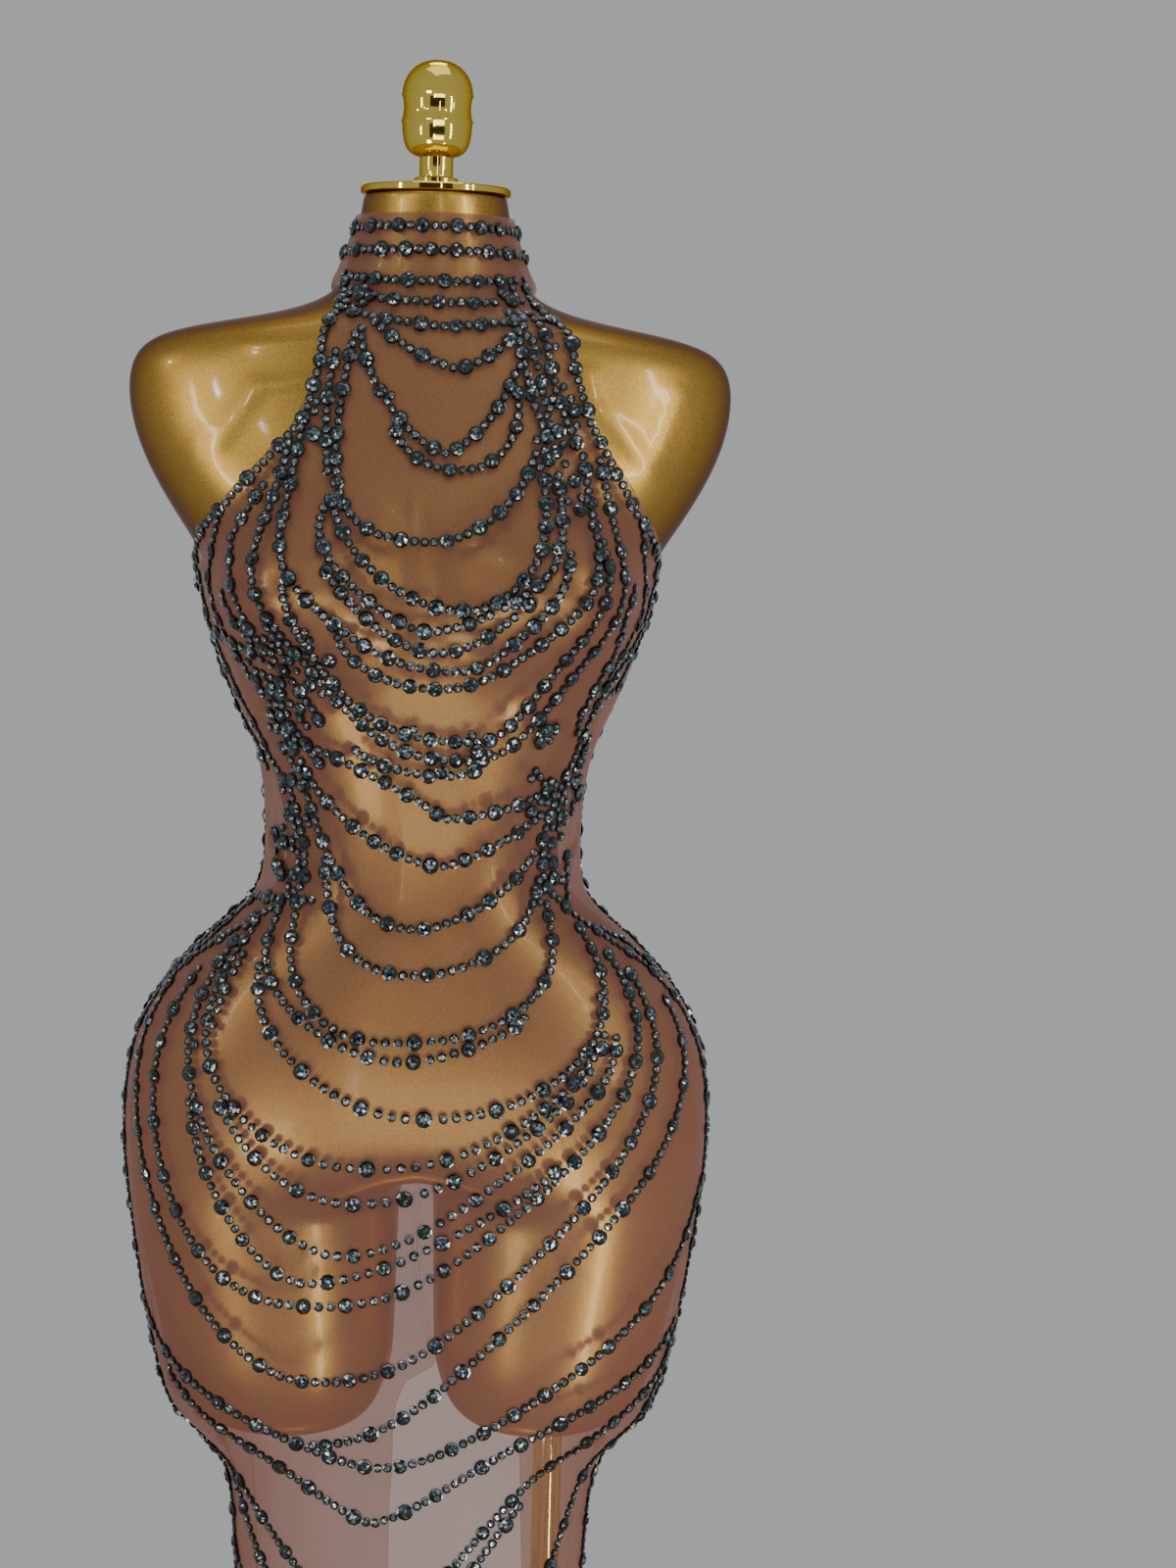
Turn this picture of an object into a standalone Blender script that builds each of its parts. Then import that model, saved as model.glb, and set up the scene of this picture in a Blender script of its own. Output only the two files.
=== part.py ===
"""Sheer halter gown with rows of stones, standing on a gold dress form.

Metres, +Z up, the floor at Z 0. The front faces -Y and the wearer's left is at +X.
Angles go round the body: 0 is the front middle, 90 is +X, 180 is the back middle.
Run with: blender --background --python part.py
"""
import math

import bmesh
import bpy
from mathutils import Vector

MM = 0.001

# Sizes in millimetres
COLUMNS = 28              # steps round the body
WALL = 1.2                # thickness of the mesh cloth
FORM_CLEARANCE = 0.6      # inside of the cloth to the form
FORM_CLEARANCE_SHARE = 0.018  # and this share of the radius more
ARMHOLE_CLEARANCE_SHARE = 0.042  # the same beside the armholes
SEAM_GAP = 0.3            # between two panels
HIP_LEVEL = 873           # last whole section above the legs
CROTCH_HEIGHT = 850
THIGH_GAP_TOP = 11        # half the gap between the thighs
THIGH_GAP_END = 15
THIGH_DEPTH_SHARE = 0.82  # a thigh's depth against the body's at the same height
THIGH_END_HEIGHT = 664
NECK_TOP = 1531
CLOTH_TOP = 1517
HEM = 60
STONE_ROW_WIDTH = 7.0
STONE_ROW_HEIGHT = 3.0
STONE_ROW_LIFT = 2.35     # bottom of a row off the cloth
COLLAR_RING_LIFT = 0.6    # the same for the rings round the collar
ROW_SLACK = 1.8           # how far a row's straight runs leave the cloth's curve
EDGE_ROW_WIDTH = 9.0      # the crowded rows that the others gather into
POLE_RADIUS = 10.25
POLE_ACROSS = 98
BASE_RADIUS = 222
BASE_THICKNESS = 9
PLATE_RADIUS = 51.5
PLATE_THICKNESS = 5.4
TOUCH = 0.3               # gap where two hard pieces meet

# One row for each level, top to bottom:
# height, form half width, form front, form back,
# cloth half width, cloth front, cloth back, squareness of the section,
# armhole edge in degrees from the middle, twist of the cloth in degrees
SECTIONS = [
    (1531, 49, 50, 50, 51, 52, 52, 2.00, 90, 0),
    (1517, 51, 51, 52, 53, 53, 54, 2.00, 90, 0),
    (1500, 55, 52, 55, 58, 55, 57, 2.00, 90, 0),
    (1475, 62, 55, 60, 67, 58, 63, 2.00, 90, 1),
    (1463, 68, 58, 65, 71, 61, 68, 2.00, 62, 3),
    (1450, 98, 62, 72, 72, 64, 74, 2.00, 54, 4),
    (1441, 160, 64, 78, 74, 66, 80, 2.05, 51, 4),
    (1432, 195, 66, 83, 80, 68, 85, 2.10, 50, 4),
    (1418, 208, 69, 88, 96, 72, 90, 2.15, 51, 4),
    (1398, 211, 74, 94, 120, 78, 96, 2.15, 51, 4),
    (1372, 207, 82, 100, 140, 87, 103, 2.20, 52, 3),
    (1345, 196, 90, 104, 150, 96, 108, 2.25, 57, 2),
    (1318, 180, 95, 105, 152, 108, 108, 2.30, 63, 1),
    (1298, 166, 98, 104, 153, 116, 106, 2.30, 71, 0),
    (1282, 156, 98, 101, 156, 121, 105, 2.30, 79, 0),
    (1268, 151, 98, 98, 155, 124, 103, 2.30, 90, 0),
    (1245, 145, 97, 94, 151, 124, 99, 2.30, 90, 0),
    (1215, 137, 93, 88, 144, 117, 95, 2.30, 90, 0),
    (1185, 126, 90, 80, 132, 107, 90, 2.28, 90, 0),
    (1155, 113, 87, 75, 117, 98, 86, 2.25, 90, 0),
    (1122, 101, 82, 69, 111, 92, 82, 2.20, 90, 0),
    (1090, 94, 80, 65, 110, 88, 80, 2.15, 90, 0),
    (1064, 95, 81, 65, 111, 88, 81, 2.15, 90, 0),
    (1045, 108, 83, 69, 114, 88, 84, 2.15, 90, 0),
    (1021, 144, 87, 81, 147, 91, 92, 2.15, 90, 0),
    (1000, 166, 90, 94, 169, 93, 101, 2.20, 90, 0),
    (976, 184, 93, 107, 188, 97, 112, 2.25, 90, 0),
    (946, 199, 97, 119, 203, 101, 123, 2.30, 90, 0),
    (910, 204, 99, 126, 208, 103, 131, 2.30, 90, 0),
    (873, 205, 98, 124, 209, 102, 130, 2.30, 90, 0),
    (840, 202, 95, 114, 206, 99, 125, 2.35, 90, 0),
    (802, 195, 91, 101, 200, 97, 112, 2.45, 90, 0),
    (762, 186, 87, 90, 194, 96, 103, 2.45, 90, 0),
    (718, 176, 83, 84, 185, 93, 96, 2.45, 90, -3),
    (690, 171, 81, 80, 177, 90, 93, 2.45, 90, -8),
    (677, 160, 75, 74, 169, 88, 91, 2.35, 90, -11),
    (664, 138, 64, 64, 154, 87, 89, 2.30, 90, -14),
    (650, 0, 0, 0, 139, 86, 88, 2.20, 90, -17),
    (634, 0, 0, 0, 132, 86, 87, 2.15, 90, -19),
    (610, 0, 0, 0, 129, 86, 86, 2.10, 90, -20),
    (570, 0, 0, 0, 126, 86, 87, 2.08, 90, -20),
    (500, 0, 0, 0, 123, 87, 88, 2.05, 90, -21),
    (350, 0, 0, 0, 122, 92, 94, 2.00, 90, -21),
    (200, 0, 0, 0, 127, 98, 102, 2.00, 90, -21),
    (60, 0, 0, 0, 136, 106, 110, 2.00, 90, -21),
]
LEVELS = [row[0] for row in SECTIONS]

# Soft forms on the body: across, height, half width, half height, how proud
BUST = (78, 1262, 78, 88, 42)
SEAT = (88, 905, 98, 112, 26)

# Rounding of a thigh's end: height, share of the thigh's size
THIGH_OUTSIDE = [(718, 176), (664, 166)]   # height, distance from the middle
THIGH_END = [(718, 1.0), (702, 0.955), (689, 0.90), (678, 0.82), (669, 0.68), (664, 0.5)]

# Walking slit at the back: height, half its opening in degrees
SLIT = [
    (677, 0.0), (664, 17), (650, 24), (634, 28), (610, 29), (570, 30), (500, 31), (350, 32), (60, 34),
]

# Soft folds in the cloth: angle, top, bottom, half width in degrees, height of the fold
FOLDS = [
    (-52, 1150, 1020, 7, 3.0), (57, 1160, 1040, 6, 3.5), (-30, 640, 60, 9, 3.0),
    (18, 630, 60, 8, 2.5), (52, 650, 60, 8, 3.5), (-72, 640, 60, 8, 3.0),
    (95, 640, 60, 9, 3.0), (-110, 650, 60, 9, 3.5), (130, 660, 200, 6, 2.0),
    (-140, 650, 150, 8, 2.5), (180, 1150, 1020, 12, 3.0), (160, 1120, 1030, 6, 2.0),
]

# Lines that the rows gather into: height, wearer's right edge, wearer's left edge
EDGES = [
    (1476, -66, 66), (1462, -56, 60), (1446, -49, 57), (1418, -46, 54), (1378, -46, 54),
    (1345, -53, 57), (1318, -60, 61), (1298, -69, 68), (1278, -78, 76), (1240, -76, 72),
    (1190, -72, 62), (1150, -66, 61), (1128, -56, 56), (1095, -50, 51), (1064, -50, 53),
    (1050, -60, 62), (1030, -72, 71), (1005, -81, 80), (975, -86, 84), (900, -87, 85),
    (800, -86, 84), (700, -84, 83), (610, -80, 81), (400, -82, 82), (72, -82, 82),
]
BACK_EDGES = [
    (1462, 122, -122), (1432, 130, -130), (1398, 129, -129), (1360, 126, -126), (1318, 117, -117),
    (1290, 106, -106), (1260, 97, -97), (1150, 96, -96), (1060, 96, -96), (900, 94, -94),
    (700, 95, -95), (610, 97, -97), (400, 97, -97), (72, 97, -97),
]

# Crowded band below the wearer's left shoulder: height, angle
SHOULDER_BAND = [(1452, 46), (1425, 44), (1395, 44), (1365, 46)]

# Swags of stones on the front: right end angle and height, fullness of that side,
# lowest point, fullness of the other side, left end angle and height.
# Fullness 1 is a straight V, 2 a round U.
FRONT_SWAGS = [
    (-62, 1475, 1.8, -2, 1470, 1.8, 62, 1475),
    (-53, 1461, 1.5, 4, 1456, 2.0, 57, 1461),
    (-50, 1451, 1.3, 6, 1440, 1.5, 57, 1450),
    (-41, 1457, 1.3, 12, 1412, 1.4, 41, 1442),
    (-35, 1438, 1.4, 6, 1356, 1.4, 39, 1425),
    (-18, 1394, 2.1, 10, 1345, 2.2, 36, 1402),
    (-37, 1435, 3.2, 3, 1298, 1.6, 41, 1379),
    (-42, 1423, 2.0, 11, 1254, 2.1, 44, 1452),
    (-33, 1312, 1.5, 0, 1240, 1.7, 36, 1300),
    (-33, 1320, 1.8, 3, 1226, 2.0, 45, 1400),
    (-46, 1391, 2.4, 10, 1214, 2.0, 42, 1363),
    (-26, 1236, 2.0, 3, 1202, 2.3, 51, 1398),
    (-37, 1281, 2.9, 20, 1166, 2.0, 49, 1351),
    (-48, 1380, 2.7, 16, 1153, 2.5, 54, 1368),
    (-59, 1170, 0.9, 8, 1113, 1.9, 67, 1168),
    (-48, 1150, 1.6, 8, 1080, 1.3, 55, 1125),
    (-52, 1210, 2.3, -2, 1037, 1.6, 52, 1106),
    (-41, 1082, 2.3, -4, 1006, 1.9, 50, 1073),
    (-55, 1120, 2.5, -13, 961, 2.7, 54, 1080),
    (-60, 1050, 1.9, -7, 948, 1.6, 39, 984),
    (-58, 1041, 2.1, -1, 910, 2.8, 65, 1088),
    (-66, 1038, 2.6, -18, 875, 2.3, 64, 1047),
    (-63, 1013, 2.4, -23, 850, 1.9, 59, 992),
    (-69, 1033, 2.1, -27, 813, 1.6, 60, 965),
    (-65, 954, 2.0, -38, 793, 1.4, 46, 879),
    (-74, 1001, 2.9, -37, 777, 2.0, 68, 1018),
    (-82, 1040, 2.2, -38, 723, 2.0, 71, 1008),
    (-86, 780, 1.7, -15, 661, 1.9, 84, 880),
    (-52, 690, 1.2, -42, 676, 1.8, 78, 985),
    (-76, 719, 1.4, -17, 621, 1.3, 81, 751),
    (-82, 668, 1.15, -16, 530, 1.1, 82, 725),
    (-74, 640, 1.5, -14, 497, 1.1, 58, 668),
    (-81, 600, 1.4, -12, 440, 1.7, 81, 750),
    (-81, 505, 1.3, -12, 330, 1.5, 81, 560),
    (-82, 425, 1.3, -12, 250, 1.4, 82, 455),
    (-82, 340, 1.3, -12, 170, 1.3, 82, 355),
    (-82, 255, 1.3, -12, 95, 1.3, 82, 265),
]

# Swags on the back, in the same columns, with angles past 180 on the wearer's right
BACK_SWAGS = [
    (121, 1462, 1.6, 180, 1452, 1.6, 239, 1462),
    (130, 1436, 1.5, 180, 1402, 1.5, 230, 1436),
    (129, 1405, 1.7, 180, 1350, 1.7, 231, 1405),
    (127, 1368, 1.8, 180, 1290, 1.8, 233, 1368),
    (119, 1325, 1.9, 180, 1232, 1.9, 241, 1325),
    (100, 1275, 1.9, 180, 1172, 1.9, 260, 1275),
    (96, 1180, 1.7, 180, 1100, 1.7, 264, 1180),
    (96, 1100, 1.6, 180, 1020, 1.6, 264, 1100),
    (96, 1030, 1.9, 180, 935, 1.9, 264, 1030),
    (95, 950, 1.8, 180, 872, 1.8, 266, 950),
]

# Rings of stones round the collar
COLLAR_RINGS = [1507, 1491]

# Turned profile of the finial: radius, height above its foot
FINIAL = [
    (15.0, 0.0), (15.0, 6.4), (11.5, 6.6), (11.5, 20.6), (17.5, 22.6), (21.6, 27.4),
    (23.4, 34.0), (24.3, 43.2), (24.6, 44.4), (23.4, 47.5), (22.9, 53.0), (23.4, 59.2),
    (24.6, 61.8), (24.3, 62.8), (22.8, 70.5), (18.8, 77.6), (12.4, 82.8), (5.2, 84.9),
]


def section_at(height):
    """Every column of SECTIONS at a height, on a smooth line through the rows."""
    height = min(max(height, LEVELS[-1]), LEVELS[0])
    i = max(k for k in range(len(LEVELS) - 1) if LEVELS[k] >= height)
    upper, lower = SECTIONS[i], SECTIONS[i + 1]
    share = (upper[0] - height) / (upper[0] - lower[0])
    return [u + (l - u) * share for u, l in zip(upper, lower)]


def oval(angle, half_width, front, back, power):
    across, along = math.sin(angle), math.cos(angle)
    depth = front if along > 0 else back
    return (abs(across / half_width) ** power + abs(along / depth) ** power) ** (-1 / power)


def soft_form(across, height, form):
    centre, level, half_width, half_height, proud = form
    reach = math.hypot((abs(across) - centre) / half_width, (height - level) / half_height)
    return proud * math.cos(math.pi / 2 * min(reach, 1)) ** 2


def form_radius(angle, row):
    radius = oval(angle, row[1], row[2], row[3], row[7])
    form = BUST if math.cos(angle) > 0 else SEAT
    return radius + soft_form(radius * math.sin(angle), row[0], form)


def fold_at(angle, height):
    total = 0
    for centre, top, bottom, half_width, proud in FOLDS:
        aside = abs((math.degrees(angle) - centre + 180) % 360 - 180) / half_width
        if aside < 1 and bottom <= height < top:
            fade = min((top - height) / 60, 1) * (min((height - bottom) / 60, 1) if bottom > HEM else 1)
            total += proud * fade * math.cos(math.pi / 2 * aside) ** 2
    return total


def cloth_grid():
    """Inner radius of the taut cloth for each level and column."""
    angles = [math.tau * c / COLUMNS for c in range(COLUMNS)]
    least = []
    for row in SECTIONS:
        line = []
        for angle in angles:
            hull = oval(angle, row[4], row[5], row[6], row[7])
            share = ARMHOLE_CLEARANCE_SHARE if 1215 <= row[0] <= 1475 else FORM_CLEARANCE_SHARE
            body = form_radius(angle, row) * (1 + share) + FORM_CLEARANCE if row[1] else 0
            line.append(max(hull, body))
        least.append(line)
    grid = [line[:] for line in least]
    straight = math.cos(math.tau / COLUMNS)
    for _ in range(12):
        before = [line[:] for line in grid]
        for i in range(1, len(grid) - 1):
            share = (LEVELS[i] - LEVELS[i + 1]) / (LEVELS[i - 1] - LEVELS[i + 1])
            for c in range(COLUMNS):
                left, right = before[i][c - 1], before[i][(c + 1) % COLUMNS]
                hoop = 2 * straight * left * right / (left + right)
                upright = before[i - 1][c] * share + before[i + 1][c] * (1 - share)
                grid[i][c] = max(least[i][c], (hoop + 0.35 * upright) / 1.35)
    for i, line in enumerate(grid):
        for c in range(COLUMNS):
            line[c] += fold_at(angles[c], LEVELS[i])
    return grid


CLOTH = cloth_grid()


def cloth_point(angle, height, out=0.0):
    """A point off the cloth's inner face, by the angle in degrees and the height in mm."""
    height = min(max(height, LEVELS[-1]), LEVELS[0])
    i = max(k for k in range(len(LEVELS) - 1) if LEVELS[k] >= height)
    down = (LEVELS[i] - height) / (LEVELS[i] - LEVELS[i + 1])
    place = (angle / 360 * COLUMNS) % COLUMNS
    c = int(place) % COLUMNS
    aside = place - int(place)
    nxt = (c + 1) % COLUMNS
    upper = CLOTH[i][c] * (1 - aside) + CLOTH[i][nxt] * aside
    lower = CLOTH[i + 1][c] * (1 - aside) + CLOTH[i + 1][nxt] * aside
    radius = upper * (1 - down) + lower * down + out
    turn = math.radians(angle)
    return Vector((radius * math.sin(turn), -radius * math.cos(turn), height)) * MM


def cloth_normal(angle, height):
    round_way = cloth_point(angle + 2, height) - cloth_point(angle - 2, height)
    up_way = cloth_point(angle, height + 6) - cloth_point(angle, height - 6)
    return round_way.cross(up_way).normalized()


def interpolate(table, value, column=1):
    """A column of a table whose first column falls from row to row."""
    for above, below in zip(table, table[1:]):
        if value >= below[0]:
            share = min(max((above[0] - value) / (above[0] - below[0]), 0), 1)
            return above[column] + (below[column] - above[column]) * share
    return table[-1][column]


def material(name, color, roughness, metallic=0.0, alpha=1.0):
    mat = bpy.data.materials.new(name)
    mat.use_nodes = True
    shader = mat.node_tree.nodes["Principled BSDF"]
    shader.inputs["Base Color"].default_value = (*color, 1)
    shader.inputs["Roughness"].default_value = roughness
    shader.inputs["Metallic"].default_value = metallic
    shader.inputs["Alpha"].default_value = alpha
    mat.diffuse_color = (*color, alpha)
    mat.metallic = metallic
    return mat


def link(obj, collection, mat=None):
    for other in list(obj.users_collection):
        other.objects.unlink(obj)
    collection.objects.link(obj)
    if mat:
        obj.data.materials.append(mat)
    return obj


def object_from(bm, name, collection, mat):
    mesh = bpy.data.meshes.new(name)
    bm.to_mesh(mesh)
    bm.free()
    obj = bpy.data.objects.new(name, mesh)
    return link(obj, collection, mat)


def smooth(obj, angle=40):
    obj.data.shade_smooth()
    obj.data.set_sharp_from_angle(angle=math.radians(angle))


def quads(bm, upper, lower, closed=False):
    """Faces between two lines of vertices of the same length."""
    count = len(upper) if closed else len(upper) - 1
    for k in range(count):
        n = (k + 1) % len(upper)
        bm.faces.new((upper[k], upper[n], lower[n], lower[k]))


def build_torso(collection, mat):
    """Half a body from neck to thigh end, mirrored: a loft whose ring splits at the crotch."""
    bm = bmesh.new()
    half = COLUMNS // 2
    turns = [math.pi * j / half for j in range(half + 1)]
    rings = []
    for row in SECTIONS:
        if row[0] < HIP_LEVEL:
            break
        ring = []
        for j, turn in enumerate(turns):
            radius = form_radius(turn, row)
            across = 0 if j in (0, half) else radius * math.sin(turn)
            ring.append(bm.verts.new(Vector((across, -radius * math.cos(turn), row[0])) * MM))
        rings.append(ring)
    for upper, lower in zip(rings, rings[1:]):
        quads(bm, upper, lower)
    top = bm.verts.new((0, 0, NECK_TOP * MM))
    for a, b in zip(rings[0], rings[0][1:]):
        bm.faces.new((top, b, a))

    # the saddle between the legs lies on the mirror plane
    inner_steps = 5
    front, back = rings[-1][0].co.y, rings[-1][-1].co.y
    saddle = []
    for k in range(1, inner_steps + 1):
        share = k / (inner_steps + 1)
        sag = (HIP_LEVEL - CROTCH_HEIGHT) * math.sin(math.pi * share)
        saddle.append(bm.verts.new((0, back + (front - back) * share, (HIP_LEVEL - sag) * MM)))

    # thigh rings: outer steps follow the body's, inner steps close the ring
    outer_turns = [math.radians(-30 + 240 * j / half) for j in range(half + 1)]
    inner_turns = [math.radians(210 + 120 * k / (inner_steps + 1)) for k in range(1, inner_steps + 1)]
    before = rings[-1] + saddle
    levels = [(row[0], 1.0) for row in SECTIONS if THIGH_END[0][0] < row[0] < CROTCH_HEIGHT] + THIGH_END
    for height, size in levels:
        row = section_at(max(height, THIGH_END[0][0]))
        slope = row[1] - interpolate(THIGH_OUTSIDE, height) if height < THIGH_END[0][0] else 0
        gap = interpolate([(CROTCH_HEIGHT, THIGH_GAP_TOP), (THIGH_END_HEIGHT, THIGH_GAP_END)], height)
        outer = row[1] - slope
        centre, reach = (outer + gap) / 2, (outer - gap) / 2 * size
        ring = []
        for turn in outer_turns + inner_turns:
            depth = size * THIGH_DEPTH_SHARE
            radius = oval(turn, reach, row[2] * depth, row[3] * depth, 2.05)
            point = (centre + radius * math.sin(turn), -radius * math.cos(turn), height)
            ring.append(bm.verts.new(Vector(point) * MM))
        quads(bm, before, ring, closed=True)
        before = ring
    end = bm.verts.new((sum(v.co.x for v in before) / len(before), 0, THIGH_END_HEIGHT * MM))
    for k, vert in enumerate(before):
        bm.faces.new((vert, before[(k + 1) % len(before)], end))

    bmesh.ops.recalc_face_normals(bm, faces=bm.faces)
    torso = object_from(bm, "torso", collection, mat)
    mirror = torso.modifiers.new("mirror", "MIRROR")
    mirror.use_axis = (True, False, False)
    mirror.use_clip = True
    mirror.merge_threshold = 0.00005
    smooth(torso, 60)
    return torso


def build_panel(name, right_edge, left_edge, steps, collection, mat):
    """A sheet between two edges, each given as a function of height, made a wall outward."""
    bm = bmesh.new()
    lines = []
    for height in LEVELS:
        if height > CLOTH_TOP:
            continue
        right, left = right_edge(height), left_edge(height)
        angles = [right + (left - right) * k / steps for k in range(steps + 1)]
        lines.append([bm.verts.new(cloth_point(angle, height)) for angle in angles])
    for upper, lower in zip(lines, lines[1:]):
        quads(bm, lower, upper)
    panel = object_from(bm, name, collection, mat)
    wall = panel.modifiers.new("wall", "SOLIDIFY")
    wall.thickness = WALL * MM
    wall.offset = 1
    wall.use_even_offset = True
    smooth(panel, 60)
    return panel


def seam_angle(height, gap=SEAM_GAP):
    """Half the seam gap in degrees at the side of the cloth."""
    return math.degrees(gap / 2 / section_at(height)[4])


def front_right_edge(height):
    row = section_at(height)
    return -row[8] + row[9] + seam_angle(height)


def front_left_edge(height):
    row = section_at(height)
    return row[8] + row[9] - seam_angle(height)


def back_left_outer(height):
    row = section_at(height)
    return 180 - row[8] + row[9] + seam_angle(height)


def back_right_outer(height):
    row = section_at(height)
    return 180 + row[8] + row[9] - seam_angle(height)


def back_left_inner(height):
    opening = interpolate(SLIT, height) if height < SLIT[0][0] else 0
    return 180 + section_at(height)[9] - opening - seam_angle(height, 2 * SEAM_GAP)


def back_right_inner(height):
    opening = interpolate(SLIT, height) if height < SLIT[0][0] else 0
    return 180 + section_at(height)[9] + opening + seam_angle(height, 2 * SEAM_GAP)


def swag_route(swag, steps=40):
    """Angles and heights along a swag: a superellipse quarter on each side of its low point."""
    right_angle, right_height, right_full, low_angle, low_height, left_full, left_angle, left_height = swag
    right_side = (right_angle, right_height, right_full, range(steps, 0, -1))
    left_side = (left_angle, left_height, left_full, range(steps + 1))
    route = []
    for end_angle, end_height, full, counts in (right_side, left_side):
        for k in counts:
            turn = math.pi / 2 * k / steps
            angle = low_angle + (end_angle - low_angle) * math.sin(turn) ** (2 / full)
            height = low_height + (end_height - low_height) * (1 - max(math.cos(turn), 0) ** (2 / full))
            route.append((angle, height))
    return route


def edge_route(table, column):
    route = []
    for above, below in zip(table, table[1:]):
        count = max(2, round((above[0] - below[0]) / 5))
        for k in range(count):
            share = k / count
            angle = above[column] + (below[column] - above[column]) * share
            route.append((angle, above[0] + (below[0] - above[0]) * share))
    return route + [(table[-1][column], table[-1][0])]


def run_into(route, placed, reach=6.5):
    """Where an end of the route lies beside rows already placed, cut it back and end it in them."""
    for _ in range(2):
        best, count = None, 0
        for k, (angle, height) in enumerate(route[:-6]):
            point = cloth_point(angle, height)
            away, stop = min(((point - other).length, stop) for other, stop in placed)
            if away > reach * MM:
                break
            best, count = stop, k + 1
        if best:
            seat = cloth_point(*best)
            while (cloth_point(*route[count]) - seat).length < 1.5 * reach * MM and count < len(route) // 3:
                count += 1
            turn = 360 * round((route[count][0] - best[0]) / 360)
            past = 0.13 * (2 + len(placed) % 3)
            seat_angle = best[0] + turn + past * (best[0] + turn - route[count][0])
            seat_height = best[1] + past * (best[1] - route[count][1])
            route = [(seat_angle, seat_height)] + route[count:]
        route = route[::-1]
    return route


def gather(edges, swags):
    """The routes of one side: the gathering edges first, then each row cut back where it meets them."""
    placed = [(cloth_point(*stop), stop) for edge in edges for stop in edge]
    routes = []
    for swag in swags:
        route = run_into(swag, placed)
        placed += [(cloth_point(*stop), stop) for stop in route]
        routes.append(route)
    return edges[1:] + routes


def thin_route(route, points, slack):
    """Fewest stops whose straight runs stay within the slack of the route."""
    first, last = points[0], points[-1]
    way = last - first
    worst, where = 0, 0
    for k in range(1, len(points) - 1):
        share = min(max((points[k] - first).dot(way) / max(way.length_squared, 1e-12), 0), 1)
        away = (points[k] - first - way * share).length
        if away > worst:
            worst, where = away, k
    if worst <= slack:
        return [route[0], route[-1]]
    before = thin_route(route[:where + 1], points[:where + 1], slack)
    return before[:-1] + thin_route(route[where:], points[where:], slack)


def build_row(name, route, width, collection, mat, lift=STONE_ROW_LIFT, closed=False):
    """A low ridge of stones along a route on the cloth, three sides and flat underneath."""
    points = [cloth_point(a, h, WALL) for a, h in route]
    if closed:
        stops = route[:-1]
    else:
        stops = thin_route(route, points, ROW_SLACK * MM)
    centres = [cloth_point(a, h, WALL) for a, h in stops]
    bm = bmesh.new()
    rings = []
    for k, (angle, height) in enumerate(stops):
        if closed:
            way = centres[(k + 1) % len(centres)] - centres[k - 1]
        else:
            way = centres[min(k + 1, len(centres) - 1)] - centres[max(k - 1, 0)]
        normal = cloth_normal(angle, height)
        side = way.cross(normal).normalized() * width / 2 * MM
        foot = centres[k] + normal * lift * MM
        crest = foot + normal * STONE_ROW_HEIGHT * MM
        rings.append([bm.verts.new(p) for p in (foot - side, foot + side, crest)])
    for one, two in zip(rings, rings[1:]):
        quads(bm, one, two, closed=True)
    if closed:
        quads(bm, rings[-1], rings[0], closed=True)
    else:
        bm.faces.new(rings[0])
        bm.faces.new(rings[-1][::-1])
    bmesh.ops.recalc_face_normals(bm, faces=bm.faces)
    return object_from(bm, name, collection, mat)


def join_rows(name, edges, others, collection, spare, mat):
    """One body from the gathering edge and every row that runs into it."""
    group = bpy.data.collections.new(name + "_parts")
    spare.children.link(group)
    body = build_row(name, edges, EDGE_ROW_WIDTH, collection, mat)
    for k, route in enumerate(others):
        lift = STONE_ROW_LIFT + 0.13 * ((k + 2) % 5 + 1)
        row = build_row("%s_%02d" % (name, k + 1), route, STONE_ROW_WIDTH, group, mat, lift)
        row.hide_render = True
        row.display_type = "WIRE"
    union = body.modifiers.new("rows", "BOOLEAN")
    union.operation = "UNION"
    union.operand_type = "COLLECTION"
    union.collection = group
    union.solver = "EXACT"
    return body


def cylinder(name, radius, depth, centre, collection, mat, bevel, sides):
    bpy.ops.mesh.primitive_cylinder_add(
        vertices=sides, radius=radius * MM, depth=depth * MM, location=Vector(centre) * MM)
    obj = bpy.context.active_object
    obj.name = obj.data.name = name
    link(obj, collection, mat)
    edge = obj.modifiers.new("edge", "BEVEL")
    edge.width = bevel * MM
    edge.segments = 1
    edge.limit_method = "ANGLE"
    smooth(obj)
    return obj


def build_finial(foot, collection, mat):
    bm = bmesh.new()
    verts = [bm.verts.new((0, 0, FINIAL[-1][1] * MM + 0.0006))]
    verts += [bm.verts.new((r * MM, 0, h * MM)) for r, h in reversed(FINIAL)]
    verts.append(bm.verts.new((0, 0, 0)))
    for a, b in zip(verts, verts[1:]):
        bm.edges.new((a, b))
    finial = object_from(bm, "finial", collection, mat)
    finial.location.z = foot * MM
    screw = finial.modifiers.new("turn", "SCREW")
    screw.steps = screw.render_steps = 12
    screw.use_merge_vertices = True
    screw.merge_threshold = 0.00005
    smooth(finial)
    return finial


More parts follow.
